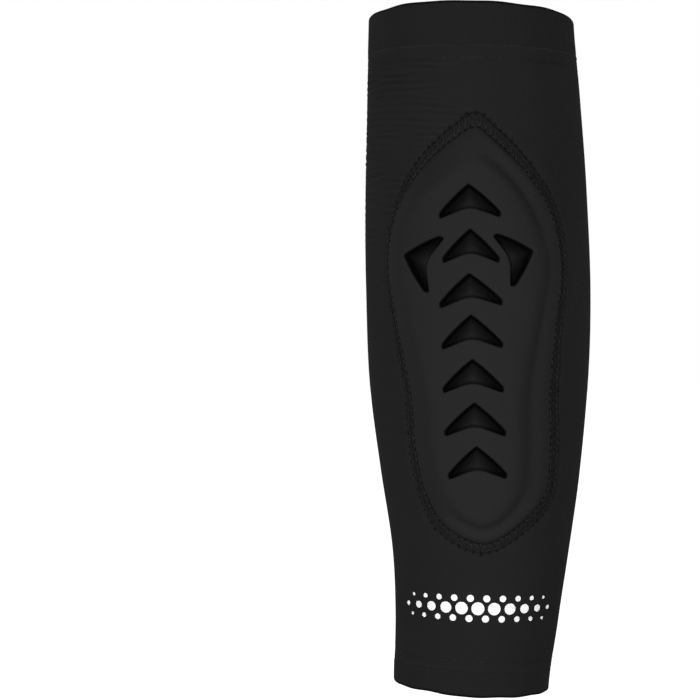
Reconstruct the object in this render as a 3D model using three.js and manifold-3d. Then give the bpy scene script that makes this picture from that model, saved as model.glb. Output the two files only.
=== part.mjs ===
// Padded forearm sleeve in its worn form: a tapered knit tube with a folded band at each end and a
// moulded foam pad sewn on the front. Millimetres. +Z runs up the forearm to the elbow, the pad faces
// -Y, and the origin lies on the forearm's axis, halfway along the sleeve.

import * as THREE from 'three';
import loadManifold from 'manifold-3d';

const wasm = await loadManifold();
wasm.setup();

// Driving dimensions of the cloth
const ELBOW_RIM = 124.8;
const ELBOW_BAND = 15.0;
const WRIST_RIM = -125.8;
const WRIST_BAND = 9.2;
const CLOTH = 1.2;
const FOLDED_CLOTH = 2.5;
const BAND_PROUD = 0.4;
const BAND_SWELL = 2.0;
const SEAM_GAP = 0.3;

// Driving dimensions of the pad
const PAD_CLEARANCE = 0.4;
const PAD_CROWN = 7.4;
const SPINE_TOP = new THREE.Vector3(-1.6, 45, 0);
const SPINE_BOTTOM = new THREE.Vector3(0.4, -47, 0);

// Driving dimensions of the arrow-shaped recesses, measured on the crown of the pad
const ARROW_FLOOR = 3.2;
const ARROW_SPAN = 21.4;
const ARROW_TIP_DROP = 10.6;
const ARROW_NOTCH_DROP = 8.2;
const ARROW_TIP_WIDTH = 1.9;
const ARROW_BOW = 0.6;
const ARROW_DRAFT = 0.9;
const ARROW_COUNT = 7;
const ARROW_PITCH = 15.45;
const TOP_ARROW = new THREE.Vector2(-2.5, 58.7);
const ARROW_LEAN = 0.3;

// Fineness of the facets
const STEPS_ROUND = 64;
const TUBE_ROWS = 15;
const FOLD_STEPS = 5;
const PAD_STEPS = 76;
const ARROW_STEPS = 10;

// Sections of the sleeve's outer face. Each is an ellipse, and slope is how much it climbs towards +X.
const SECTIONS = [
  { height: -130, centreX: -1.9, centreY: -1.9, halfWidth: 28.8, halfDepth: 22.6, slope: -0.053 },
  { height: -100, centreX: 0.4, centreY: -1.5, halfWidth: 30.4, halfDepth: 24.6, slope: -0.03 },
  { height: -75, centreX: 1.8, centreY: -1.2, halfWidth: 32.9, halfDepth: 27.6, slope: 0 },
  { height: -45, centreX: 1.7, centreY: -0.8, halfWidth: 37.2, halfDepth: 32.0, slope: 0 },
  { height: -10, centreX: 1.1, centreY: -0.3, halfWidth: 41.0, halfDepth: 36.2, slope: 0 },
  { height: 25, centreX: 0.8, centreY: 0, halfWidth: 42.0, halfDepth: 37.5, slope: 0 },
  { height: 60, centreX: 0, centreY: 0, halfWidth: 41.4, halfDepth: 37.0, slope: 0 },
  { height: 95, centreX: -1.0, centreY: 0, halfWidth: 39.8, halfDepth: 35.3, slope: -0.01 },
  { height: 130, centreX: -2.0, centreY: 0, halfWidth: 38.0, halfDepth: 33.2, slope: -0.028 },
];

// Outer edge of the pad and the edge of its raised plateau, level by level from top to bottom. Left and
// right are distances across the sleeve's face from its front line.
const PAD_EDGES = [
  { height: 85, left: 0.8, right: 0.8, plateau: 67.5, plateauLeft: 0, plateauRight: 0 },
  { height: 80, left: -7.2, right: 7.0, plateau: 64.5, plateauLeft: -6.4, plateauRight: 6.2 },
  { height: 66, left: -21.3, right: 19.9, plateau: 56.5, plateauLeft: -15.6, plateauRight: 14.4 },
  { height: 50, left: -30.6, right: 30.0, plateau: 45, plateauLeft: -21.6, plateauRight: 18.6 },
  { height: 31, left: -34.6, right: 33.3, plateau: 30, plateauLeft: -23.4, plateauRight: 20.0 },
  { height: 7, left: -31.0, right: 30.0, plateau: 8, plateauLeft: -20.0, plateauRight: 18.2 },
  { height: -16, left: -26.2, right: 27.2, plateau: -15, plateauLeft: -16.5, plateauRight: 15.4 },
  { height: -38, left: -24.9, right: 26.7, plateau: -35, plateauLeft: -14.8, plateauRight: 14.3 },
  { height: -54, left: -21.2, right: 24.4, plateau: -48, plateauLeft: -12.0, plateauRight: 12.0 },
  { height: -66, left: -12.9, right: 13.9, plateau: -57.5, plateauLeft: -6.6, plateauRight: 7.0 },
  { height: -74, left: 1.2, right: 1.2, plateau: -62, plateauLeft: 0.5, plateauRight: 0.5 },
];

// Thickness of the pad by how far inward it is: 0 at its edge, 1 at the plateau's edge, 2 at its spine.
const PAD_TIERS = [
  { inward: 0, thickness: 1.1 },
  { inward: 0.05, thickness: 1.6 },
  { inward: 0.3, thickness: 1.8 },
  { inward: 0.42, thickness: 3.2 },
  { inward: 0.6, thickness: 4.2 },
  { inward: 0.86, thickness: 4.7 },
  { inward: 0.95, thickness: 5.7 },
  { inward: 1.06, thickness: 6.6 },
  { inward: 1.25, thickness: 7.0 },
  { inward: 1.55, thickness: 7.3 },
  { inward: 1.85, thickness: PAD_CROWN },
];
const PAD_BACK_TIERS = [0, 0.4, 0.8, 1.2, 1.5, 1.85];

// The two recesses beside the row, placed by their points and turned outward from upright.
const SIDE_ARROWS = [
  { across: 19.3, height: 35.0, turn: -68 },
  { across: -26.2, height: 33.6, turn: 68 },
];

const FINISHES = {
  knit: { color: 0x222223, roughness: 0.88, metalness: 0 },
  foldedKnit: { color: 0x202021, roughness: 0.88, metalness: 0 },
  foam: { color: 0x282829, roughness: 0.78, metalness: 0 },
};

// Smooth reading of a table between its rows.
function smoothTable(rows, key, columns) {
  const places = rows.map((row) => row[key]);
  const values = rows.flatMap((row) => columns.map((column) => row[column]));
  const curve = new THREE.CubicInterpolant(places, values, columns.length);
  return (place) => {
    const found = curve.evaluate(place);
    return Object.fromEntries(columns.map((column, index) => [column, found[index]]));
  };
}

const sectionAt = smoothTable(
  SECTIONS, 'height', ['centreX', 'centreY', 'halfWidth', 'halfDepth', 'slope']);

// Point of the sleeve's face. Angle 0 is the front line and grows towards +X, and lift is outward.
function facePoint(angle, height, lift) {
  const section = sectionAt(height);
  const across = Math.sin(angle);
  const toFront = Math.cos(angle);
  const outward = new THREE.Vector2(across / section.halfWidth, -toFront / section.halfDepth).normalize();
  const x = section.halfWidth * across + lift * outward.x;
  const y = section.centreY - section.halfDepth * toFront + lift * outward.y;
  return new THREE.Vector3(section.centreX + x, y, height + section.slope * x);
}

// The same point by its distance across, measured along the face or, with a level, that far above it.
function acrossPoint(across, height, lift, level = 0) {
  const section = sectionAt(height);
  const radius = (section.halfWidth + section.halfDepth) / 2 + level;
  return facePoint(across / radius, height, lift);
}

// Triangles between two loops or strips of points that have the same length.
function joinRows(first, second, count, closed) {
  const triangles = [];
  for (let step = 0; step < (closed ? count : count - 1); step += 1) {
    const next = (step + 1) % count;
    triangles.push(first + step, second + step, first + next);
    triangles.push(first + next, second + step, second + next);
  }
  return triangles;
}

function meshGeometry(coordinates, triangles) {
  const geometry = new THREE.BufferGeometry();
  geometry.setAttribute('position', new THREE.Float32BufferAttribute(coordinates, 3));
  geometry.setIndex(triangles);
  geometry.computeVertexNormals();
  return geometry;
}

function solidGeometry(points, triangles) {
  return meshGeometry(points.flatMap((point) => point.toArray()), triangles);
}

function piece(name, geometry, finish) {
  const mesh = new THREE.Mesh(geometry, new THREE.MeshStandardMaterial(finish));
  mesh.name = name;
  return mesh;
}

// Closed ring: a profile that goes down the outside and up the inside, swept round the sleeve.
function sweepRound(profile) {
  const points = [];
  const triangles = [];
  for (const { height, lift } of profile) {
    for (let step = 0; step < STEPS_ROUND; step += 1) {
      points.push(facePoint((step / STEPS_ROUND) * 2 * Math.PI, height, lift));
    }
  }
  profile.forEach((_, row) => {
    const below = (row + 1) % profile.length;
    triangles.push(...joinRows(row * STEPS_ROUND, below * STEPS_ROUND, STEPS_ROUND, true));
  });
  return solidGeometry(points, triangles);
}

// The tube is one layer of cloth between the seams of the two bands.
function sleeveTube() {
  const top = ELBOW_RIM - ELBOW_BAND - SEAM_GAP / 2;
  const bottom = WRIST_RIM + WRIST_BAND + SEAM_GAP / 2;
  const heights = Array.from(
    { length: TUBE_ROWS + 1 }, (_, row) => THREE.MathUtils.lerp(top, bottom, row / TUBE_ROWS));
  const outside = heights.map((height) => ({ height, lift: 0 }));
  const inside = heights.toReversed().map((height) => ({ height, lift: -CLOTH }));
  return piece('sleeve_tube', sweepRound([...outside, ...inside]), FINISHES.knit);
}

// A band is cloth folded double: it swells out from its seam and turns over in a round fold at the rim.
function foldedBand(name, rim, tall) {
  const up = Math.sign(rim);
  const seam = rim - up * (tall - SEAM_GAP / 2);
  const foldRadius = FOLDED_CLOTH / 2;
  const middle = BAND_PROUD - foldRadius;
  const foldStart = rim - up * foldRadius;
  const profile = [{ height: seam, lift: 0 }, { height: seam + up * BAND_SWELL, lift: BAND_PROUD }];
  for (let step = 0; step <= FOLD_STEPS; step += 1) {
    const turn = (step / FOLD_STEPS) * Math.PI;
    profile.push({
      height: foldStart + up * foldRadius * Math.sin(turn),
      lift: middle + foldRadius * Math.cos(turn),
    });
  }
  profile.push({ height: seam + up * BAND_SWELL, lift: BAND_PROUD - FOLDED_CLOTH });
  profile.push({ height: seam, lift: BAND_PROUD - FOLDED_CLOTH });
  return piece(name, sweepRound(up > 0 ? profile.toReversed() : profile), FINISHES.foldedKnit);
}

// Closed curve through a pair of columns of the pad's table, down the right side and up the left.
function padCurve(level, left, right) {
  const down = PAD_EDGES.map((row) => new THREE.Vector3(row[right], row[level], 0));
  const up = PAD_EDGES.slice(1, -1).toReversed().map((row) => new THREE.Vector3(row[left], row[level], 0));
  return new THREE.CatmullRomCurve3([...down, ...up], true);
}

const padEdge = padCurve('height', 'left', 'right');
const plateauEdge = padCurve('plateau', 'plateauLeft', 'plateauRight');
const padSpine = new THREE.Line3(SPINE_TOP, SPINE_BOTTOM);

// Loop of points that far inward, as distances across and heights. It is evenly spaced along the edge.
function padLoop(inward) {
  return Array.from({ length: PAD_STEPS }, (_, step) => {
    const along = padEdge.getUtoTmapping(step / PAD_STEPS);
    const onEdge = padEdge.getPoint(along);
    const onPlateau = plateauEdge.getPoint(along);
    if (inward <= 1) {
      return onEdge.lerp(onPlateau, inward);
    }
    const onSpine = padSpine.closestPointToPoint(onPlateau, true, new THREE.Vector3());
    return onPlateau.lerp(onSpine, inward - 1);
  });
}

// Short triangles across a loop, closing its right side on its left from the top down.
function zipSides(loop) {
  const triangles = [];
  let right = 1;
  let left = loop.length;
  while (left - right > 1) {
    const onRight = loop[right + 1].y > loop[left - 1].y;
    triangles.push([right, left % loop.length, onRight ? right + 1 : left - 1]);
    right += onRight ? 1 : 0;
    left -= onRight ? 0 : 1;
  }
  return triangles;
}

// The pad before its recesses are cut: loops of points from its crown out to its edge and back below.
function padBody() {
  const front = PAD_TIERS.toReversed();
  const back = PAD_BACK_TIERS.map((inward) => ({ inward, thickness: 0 }));
  const loops = [...front, ...back];
  const points = loops.flatMap(({ inward, thickness }) =>
    padLoop(inward).map((place) => acrossPoint(place.x, place.y, PAD_CLEARANCE + thickness)));
  const triangles = [];
  for (let row = 0; row < loops.length - 1; row += 1) {
    triangles.push(...joinRows((row + 1) * PAD_STEPS, row * PAD_STEPS, PAD_STEPS, true));
  }
  const lastRow = (loops.length - 1) * PAD_STEPS;
  for (const [a, b, c] of zipSides(padLoop(PAD_TIERS.at(-1).inward))) {
    triangles.push(a, b, c);
    triangles.push(lastRow + a, lastRow + c, lastRow + b);
  }
  return solidGeometry(points, triangles);
}

// One side of an arrow's strip, from its left tip to its right. The point is at the origin, facing up.
function arrowLine(pointDrop, tipDrop, bow, shorter) {
  const reach = ARROW_SPAN / 2 - shorter;
  return Array.from({ length: ARROW_STEPS + 1 }, (_, step) => {
    const along = (2 * step) / ARROW_STEPS - 1;
    const outward = Math.abs(along);
    const drop = THREE.MathUtils.lerp(pointDrop, tipDrop, outward) - bow * 4 * outward * (1 - outward);
    return new THREE.Vector2(along * reach, -drop);
  });
}

// Cutter for one recess, with walls that draw in towards its floor.
function arrowCutter({ across, height, turn }) {
  const floor = PAD_CLEARANCE + ARROW_FLOOR;
  const crown = PAD_CLEARANCE + PAD_CROWN;
  const above = 2 * crown - floor;
  const points = [];
  for (const lift of [above, floor]) {
    const inset = (ARROW_DRAFT * (crown - lift)) / (crown - floor);
    const upper = arrowLine(inset, ARROW_TIP_DROP + inset, ARROW_BOW, inset);
    const lower = arrowLine(
      ARROW_NOTCH_DROP - inset, ARROW_TIP_DROP + ARROW_TIP_WIDTH - inset, 0, inset);
    for (const place of [...upper, ...lower]) {
      place.rotateAround(new THREE.Vector2(), THREE.MathUtils.degToRad(turn));
      points.push(acrossPoint(across + place.x, height + place.y, lift, PAD_CROWN));
    }
  }
  const strip = ARROW_STEPS + 1;
  const [topUpper, topLower, floorUpper, floorLower] = [0, strip, 2 * strip, 3 * strip];
  const triangles = [
    ...joinRows(topUpper, topLower, strip, false),
    ...joinRows(topLower, floorLower, strip, false),
    ...joinRows(floorLower, floorUpper, strip, false),
    ...joinRows(floorUpper, topUpper, strip, false),
  ];
  const last = strip - 1;
  triangles.push(topUpper, floorUpper, topLower, topLower, floorUpper, floorLower);
  triangles.push(topUpper + last, topLower + last, floorUpper + last);
  triangles.push(topLower + last, floorLower + last, floorUpper + last);
  return solidGeometry(points, triangles);
}

function toManifold(geometry) {
  const mesh = new wasm.Mesh({
    numProp: 3,
    vertProperties: geometry.getAttribute('position').array,
    triVerts: Uint32Array.from(geometry.getIndex().array),
  });
  return new wasm.Manifold(mesh);
}

function fromManifold(solid) {
  const mesh = solid.getMesh();
  return meshGeometry(mesh.vertProperties, [...mesh.triVerts]);
}

// Places of all the recesses: the row down the middle, which leans a little, and the two beside it.
function arrowPlaces() {
  const row = Array.from({ length: ARROW_COUNT }, (_, index) => ({
    across: TOP_ARROW.x + index * ARROW_LEAN,
    height: TOP_ARROW.y - index * ARROW_PITCH,
    turn: 0,
  }));
  return [...row, ...SIDE_ARROWS];
}

function forearmPad() {
  let solid = toManifold(padBody());
  for (const place of arrowPlaces()) {
    solid = solid.subtract(toManifold(arrowCutter(place)));
  }
  return piece('forearm_pad', fromManifold(solid), FINISHES.foam);
}

const sleeve = new THREE.Group();
sleeve.add(sleeveTube());
sleeve.add(foldedBand('elbow_band', ELBOW_RIM, ELBOW_BAND));
sleeve.add(foldedBand('wrist_band', WRIST_RIM, WRIST_BAND));
sleeve.add(forearmPad());

export default sleeve;
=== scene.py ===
"""Padded forearm sleeve: the knit, the folded bands, the moulded foam pad, their stitching and the stage.

Shapes are worked out in millimetres on the sleeve's own face, by the angle or the distance across from its
front line and the height along the forearm, and are turned into metres when a mesh is made.
"""

import math
from collections import namedtuple

import bpy
import numpy as np
from bpy.props import FloatProperty, FloatVectorProperty, IntProperty, PointerProperty
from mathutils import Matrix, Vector
from mathutils.geometry import delaunay_2d_cdt


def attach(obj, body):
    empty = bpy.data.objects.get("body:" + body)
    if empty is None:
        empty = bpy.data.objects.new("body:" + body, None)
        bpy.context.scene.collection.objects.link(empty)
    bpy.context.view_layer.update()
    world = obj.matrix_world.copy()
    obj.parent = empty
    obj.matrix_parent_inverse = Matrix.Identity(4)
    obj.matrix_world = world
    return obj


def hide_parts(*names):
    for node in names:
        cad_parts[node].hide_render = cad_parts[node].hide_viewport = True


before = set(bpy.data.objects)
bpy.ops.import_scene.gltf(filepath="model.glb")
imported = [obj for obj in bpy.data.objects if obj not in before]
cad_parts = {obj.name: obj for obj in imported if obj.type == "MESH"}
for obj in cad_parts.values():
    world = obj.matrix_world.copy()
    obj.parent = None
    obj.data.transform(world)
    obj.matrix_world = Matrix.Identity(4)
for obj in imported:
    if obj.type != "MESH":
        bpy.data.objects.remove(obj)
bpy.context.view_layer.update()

MM = 0.001

bl_info = {
    "name": "Padded Forearm Sleeve",
    "version": (1, 0, 0),
    "blender": (4, 5, 0),
    "location": "View3D > Sidebar > Sleeve",
    "description": "Builds a padded forearm sleeve piece by piece on its packed frame",
    "category": "Add Mesh",
}

# Sections of the sleeve's outer face. Each is an ellipse, and slope is how much it climbs towards +X.
Section = namedtuple("Section", "height centre_x centre_y half_width half_depth slope")
SECTIONS = [
    Section(-130, -1.9, -1.9, 28.8, 22.6, -0.053),
    Section(-100, 0.4, -1.5, 30.4, 24.6, -0.03),
    Section(-75, 1.8, -1.2, 32.9, 27.6, 0),
    Section(-45, 1.7, -0.8, 37.2, 32.0, 0),
    Section(-10, 1.1, -0.3, 41.0, 36.2, 0),
    Section(25, 0.8, 0, 42.0, 37.5, 0),
    Section(60, 0, 0, 41.4, 37.0, 0),
    Section(95, -1.0, 0, 39.8, 35.3, -0.01),
    Section(130, -1.8, 0, 38.25, 33.2, -0.028),
]
ELBOW_RIM = 124.8
ELBOW_BAND = 15.0
WRIST_RIM = -125.8
WRIST_BAND = 9.2
# How much further each rim reaches at the front and back, and less far at the sides.
ELBOW_BOW = 0.8
WRIST_BOW = 0.3

# Outer edge of the pad and the edge of its raised plateau, level by level from top to bottom. Left and
# right are distances across the sleeve's face from its front line.
PadEdge = namedtuple("PadEdge", "height left right plateau plateau_left plateau_right")
PAD_EDGES = [
    PadEdge(85, 0.8, 0.8, 67.5, 0, 0),
    PadEdge(80, -7.2, 7.0, 64.5, -6.4, 4.6),
    PadEdge(66, -21.8, 20.0, 56.5, -15.6, 11.2),
    PadEdge(50, -31.4, 30.2, 45, -23.6, 16.7),
    PadEdge(31, -35.8, 33.9, 30, -26.0, 20.4),
    PadEdge(7, -31.9, 31.4, 8, -21.6, 16.8),
    PadEdge(-16, -26.9, 29.6, -15, -16.5, 12.9),
    PadEdge(-38, -25.3, 29.6, -35, -14.8, 12.3),
    PadEdge(-54, -21.3, 26.8, -48, -12.0, 11.2),
    PadEdge(-66, -14.2, 14.6, -57.5, -6.6, 7.0),
    PadEdge(-73.3, 1.2, 1.2, -62, 0.5, 0.5),
]

# Thickness of the pad from its edge, inward 0, to the edge of its plateau, inward 1: stepped on the right,
# where a riser shows, and gentle on the left, where the tier runs up into the plateau.
PadTier = namedtuple("PadTier", "inward stepped gentle")
PAD_TIERS = [
    PadTier(0, 0.15, 0.15),
    PadTier(0.02, 0.55, 0.55),
    PadTier(0.07, 0.9, 0.9),
    PadTier(0.2, 1.2, 1.2),
    PadTier(0.3, 1.75, 1.55),
    PadTier(0.36, 2.7, 2.05),
    PadTier(0.42, 3.5, 2.5),
    PadTier(0.49, 3.98, 3.05),
    PadTier(0.58, 4.12, 3.65),
    PadTier(0.67, 4.14, 4.2),
    PadTier(0.75, 4.17, 4.72),
    PadTier(0.82, 4.5, 5.14),
    PadTier(0.89, 5.15, 5.54),
    PadTier(0.95, 5.76, 5.86),
    PadTier(1, 6.15, 6.15),
]
GENTLE_UNTIL = -3.0
STEPPED_FROM = 9.0
# Round the pad's lower end the riser carries on further to the left.
LOW_END = (44.0, 60.0)
LOW_END_SHIFT = 12.0
# Thickness on the plateau by the distance from its edge.
PlateauRise = namedtuple("PlateauRise", "distance thickness")
PLATEAU_RISES = [
    PlateauRise(0, 6.15),
    PlateauRise(1.1, 6.62),
    PlateauRise(4.5, 7.0),
    PlateauRise(10, 7.3),
    PlateauRise(22, 7.4),
]
PAD_CROWN = 7.4

# The arrow recesses: points of the row from top to bottom, and the two that are turned outward beside it.
# Reach, drop and notch are shares of the usual span, drop and notch.
Arrow = namedtuple("Arrow", "across height turn reach drop notch")
ARROWS = [
    Arrow(-2.5, 58.7, 1, 1.01, 1, 1),
    Arrow(-2.3, 42.8, 0, 0.93, 1, 1),
    Arrow(-3.0, 27.1, 2.5, 1.03, 0.98, 1),
    Arrow(-2.5, 12.5, 1.5, 1.0, 1, 1),
    Arrow(-2.1, -3.1, 0.5, 1.0, 1, 1),
    Arrow(-1.6, -18.5, 0, 1.01, 1, 1),
    Arrow(-1.2, -34.0, 1, 0.97, 0.98, 1),
    Arrow(20.2, 35.1, -72, 0.9, 1.03, 1.1),
    Arrow(-27.4, 33.9, 73, 0.96, 1.15, 1),
]
# The floor of a recess rises towards its notch, where its painted shade lifts, as shares. The shade starts to
# lift at a distance from the arms, and has lifted fully a reach further on. The wall gets full painted shade
# from a share of its depth, which also stands for the wall's own darker colour.
FLOOR_RISE = 0.42
FLOOR_RISE_FROM = 0.1
FLOOR_LIGHT = 0.82
FLOOR_LIGHT_FROM = 0.6
FLOOR_LIGHT_REACH = 5.0
WALL_DARK_BY = 0.3

# The pad's sewn border. Its places are inward shares, as in the tiers: where each stitch pinches it, where it
# is lumpy, how wide a needle's dimple is, where painted shade lies over it and where painted shadow fills the
# holes.
SEATED_BY = 0.05
PINCH_RISES = (0.0, 0.04)
PINCH_FALLS = (0.24, 0.36)
LUMPS_RISE = (0.02, 0.1)
LUMP_SHARE = 0.45
LUMP_WAVES = (23, 41, 67)
NEEDLE_REACH = 0.04
NEEDLE_LEAST = 0.4
BORDER_PAINTED_SHADE = 0.3
BORDER_SHADE_FALLS = (0.26, 0.4)
HOLE_SHADE = 0.65
HOLE_REACH = 0.05
OUTER_HOLE_FALLS = (0.03, 0.1)

# Wall of a recess: how far inside the drawn outline each line lies, and its depth as a share of the floor's.
RecessStep = namedtuple("RecessStep", "inset depth")
RECESS_WALL = [
    RecessStep(-0.5, 0),
    RecessStep(-0.25, 0.025),
    RecessStep(-0.06, 0.11),
    RecessStep(0.1, 0.28),
    RecessStep(0.4, 0.6),
    RecessStep(0.72, 0.87),
    RecessStep(1.05, 0.97),
    RecessStep(1.5, 1),
]

# Outline of an arrow: the share of an inset that each edge takes, the slant of the blunt tips, the points of
# a rounded corner and the largest share of an edge that it cuts.
ARROW_EDGE_SHARES = [0.9, 1.8, 1.0, 1.0, 1.8, 0.9]
ARROW_TIP_SLANT = 0.25
CORNER_STEPS = 5
CORNER_LIMIT = 0.45
# Each corner's cut, and the steps and the bow of the edge after it.
ArrowCorner = namedtuple("ArrowCorner", "cut steps bow")
ARROW_CORNERS = [
    ArrowCorner(0.7, 11, 0.3),
    ArrowCorner(1.0, 1, 0),
    ArrowCorner(1.0, 8, 0),
    ArrowCorner(3.2, 8, 0),
    ArrowCorner(1.0, 1, 0),
    ArrowCorner(1.0, 11, 0.3),
]

# Fine level ripples where the knit lies slack, up and to the left of the pad. Each is drawn between the
# low and the high values, and strength is a share of the usual height.
Ripple = namedtuple("Ripple", "across height reach spacing lean strength")
RIPPLE_LOW = Ripple(-52, 42, 6, 1.7, -0.16, 0.5)
RIPPLE_HIGH = Ripple(-8, 108, 15, 2.9, 0.1, 1.0)
RIPPLE_COUNT = 44
RIPPLE_TALL = 1.6

# Short upright creases in the knit beside the pad, and the form that they share.
SideCrease = namedtuple("SideCrease", "across height depth")
SIDE_CREASES = [SideCrease(38.2, 27, 0.2), SideCrease(40.1, 21, 0.16), SideCrease(41.9, 17, 0.11)]
CREASE_TALL = 7.5
CREASE_WIDE = 0.75
CREASE_LEAN = 0.6

# The knit along the pad's stitched edge. It is drawn in there, swells beyond and ruffles in between: shares
# of the pucker's depth, and distances from the edge.
PadSeam = namedtuple("PadSeam", "drawn drawn_reach swell swell_at swell_reach ruffle ruffle_fade ruffle_rise")
PAD_SEAM = PadSeam(1.1, 1.3, 0.5, 3.4, 2.2, 0.85, 3.2, (0.2, 1.6))
PAD_SEAM_STEPS = 400
PAD_SEAM_ACROSS = 52
PAD_SEAM_HEIGHTS = (-90, 102)
PUCKER_WAVES = (4.4, 6.1, 9.7, 15.0)

# Cut edge of the tube and of a band at their seam, by distance from it. A lift below nought is in
# millimetres, and one above nought is a share of how far the band stands out.
SeamTurn = namedtuple("SeamTurn", "distance lift")
TUBE_EDGE = [
    SeamTurn(-0.15, -0.3),
    SeamTurn(0, -0.03),
    SeamTurn(0.2, 0),
    SeamTurn(0.45, 0),
    SeamTurn(0.75, 0),
    SeamTurn(1.1, 0),
]
BAND_EDGE = [
    SeamTurn(-0.15, -0.3),
    SeamTurn(0, -0.06),
    SeamTurn(0.25, 0),
    SeamTurn(0.6, 0.4),
    SeamTurn(1.1, 0.9),
    SeamTurn(1.8, 1.0),
]
SEAM_OVERLAP = 0.15
TUBE_FROM_SEAM = 1.5
BAND_FROM_SEAM = 2.6

# Slow waves of the knit beside the pad: two that cross, by turns round the sleeve and height of one radian,
# which come in from one distance across to another. Then those of a band's free edge, round its girth.
SlowWave = namedtuple("SlowWave", "turns rise start")
SLOW_WAVES = [SlowWave(3, 31, 0.7), SlowWave(2, 19, 0)]
SLACK_FROM = 30
SLACK_FULL = 60
BAND_GIRTH = 2 * math.pi * 36.0
BAND_WAVES = (3, 5, 8, 13)
BAND_DIMPLES = (21, 34, 55)
BAND_WAVE_SHARE = 0.8
BAND_DIMPLE_SHARE = 0.5
DIMPLES_FROM = 0.4
RIM_WAVE = 0.16
FREE_FROM = 1.0

# A band's rows stop a little short of its fold. Angles of the turn over which painted shade on the fold comes
# in and fades out again.
OUTER_FOLD_GAP = 0.3
INNER_FOLD_GAP = 1.2
FOLD_DARKENS = (0.0, 0.5)
FOLD_LIGHTENS = (2.0, 2.8)

# Edge of the knit along a band's seam, groove of a topstitch row and ridge of the seam down the back:
# distances from the seam or row, and shares.
SEAM_EDGE_AT = 0.45
SEAM_EDGE_REACH = 0.32
SEAM_EDGE_UNEVEN = 0.4
WRIST_EDGE = 0.35
ROW_REACH = 0.8
ROW_UNEVEN = 0.35
BACK_RIDGE_REACH = 1.9
BACK_HOLLOW_AT = 2.8
BACK_HOLLOW_REACH = 0.7
BACK_HOLLOW_DEPTH = 0.6
BACK_SEAM_END = 1.0

# Strength of the painted shade in the knit's hollows and grooves, and of the painted highlight on its edge
# along a seam, as shares.
RIPPLE_SHADE = 0.14
ROW_SHADE = 0.12
BACK_SHADE = 0.3
SEAM_LIGHT = 0.6

RIPPLE_SEED = 11
PUCKER_SEED = 23
BAND_SEED = 37
THREAD_SEED = 5

# Finishes: how dark the painted shade in valleys is, and on the print how dark its cracks are, how the colour
# drifts and is flecked with lint, the roughness, and the strength and the depth of the relief.
Finish = namedtuple("Finish", "valley drift lint roughness bump deep")
KNIT_FINISH = Finish(0.35, 0.3, 0.45, 0.9, 0.55, 0.22)
FOAM_FINISH = Finish(0.12, 0.16, 0.3, 0.8, 0.25, 0.12)
THREAD_FINISH = Finish(0.0, 0.2, 0.8, 0.54, 0.5, 0.1)
PRINT_FINISH = Finish(0.4, 0.1, 0.25, 0.7, 0.4, 0.2)
CLOTH_UV = "Cloth"
KNIT_UNEVENNESS = 0.7
SKIN_UNEVENNESS = 0.2
# Strength of the painted shade, and of the painted highlight, that the fold mark carries on the knit.
FOLD_SHADE = 0.92
FOLDED_TONE = 0.95
THREAD_GLOSS = 0.2
PRINT_GLOSS = 0.3
FIBRE_SCALE = 5200.0
CRACK_SCALE = 1100.0
CRACK_WIDTH = 0.09
DRIFT_SCALE = 24.0
LINT_SCALE = 1500.0
LINT_ROUGHNESS = 0.4
# Knitted loops: how slowly they wander, how steep they lie, and how much of the height is wale and loop. The
# painted shade of a valley starts below one height and is deepest at another.
LOOP_WANDER = 0.21
LOOP_SLANT = 0.55
WALE_HEIGHT = 0.7
LOOP_HEIGHT = 0.22
VALLEY_STARTS = 0.45
VALLEY_DEEPEST = -0.1

# Rows of stitches: how far each stitch bows out, where along it as a share, and how much the stitches differ.
Sewing = namedtuple("Sewing", "bow bow_place unevenness seed")
ZIGZAG = Sewing(1.7, -0.24, 0.14, THREAD_SEED)
TOPSTITCH = Sewing(0.4, 0.0, 0.12, THREAD_SEED + 1)
NEEDLE_ROWS = Sewing(0.5, 0.0, 0.2, THREAD_SEED + 2)
BACK_SEAM = Sewing(0.35, 0.0, 0.12, THREAD_SEED + 3)
# How far their ends are sunk. On the pad's foam it is a share of the needle's depth.
ZIGZAG_IN_FOAM = 0.8
ZIGZAG_IN_KNIT = 0.35
ROWS_IN_FOAM = 0.45
TOPSTITCH_IN_KNIT = 0.16
BACK_SEAM_IN_KNIT = 0.05
ZIGZAG_SCATTER = 0.16
ROW_SCATTER = 0.1

# The outer rows of dots are narrower by a share, and all of them stand out a little.
OUTER_DOTS_LESS = 0.45
DOT_THICK = 0.07
# Dots are laid on the knit along rays that start this far outside it.
RAY_FROM = 4.0
RAY_REACH = 20.0

# The stage, in metres: places of the lights, of which there is an edge light on the left too, and half the
# floor's width. The sensor is in millimetres.
KEY_PLACE = (-0.08, -1.2, -0.1)
FILL_PLACE = (0.0, 1.1, 0.58)
EDGE_PLACE = (0.96, 0.8, 0.3)
LIGHT_WIDE = 0.4
FLOOR_HALF = 20.0
FLOOR_DRIFT = 0.01
FLOOR_GLOW = 1.1
SENSOR_WIDE = 36.0

# Fineness of the meshes. The tube's rows are closest above the lowest ripples.
RIPPLE_BOTTOM = 36.0
RIPPLE_ROWS = 172
SLEEVE_ROWS = 160
SLEEVE_INNER_ROWS = 24
SLEEVE_AROUND = 264
BAND_ROWS = 18
BAND_FOLD_ROWS = 9
BAND_INNER_ROWS = 8
PAD_STITCHES = 142
PAD_STEPS_PER_STITCH = 6
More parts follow.
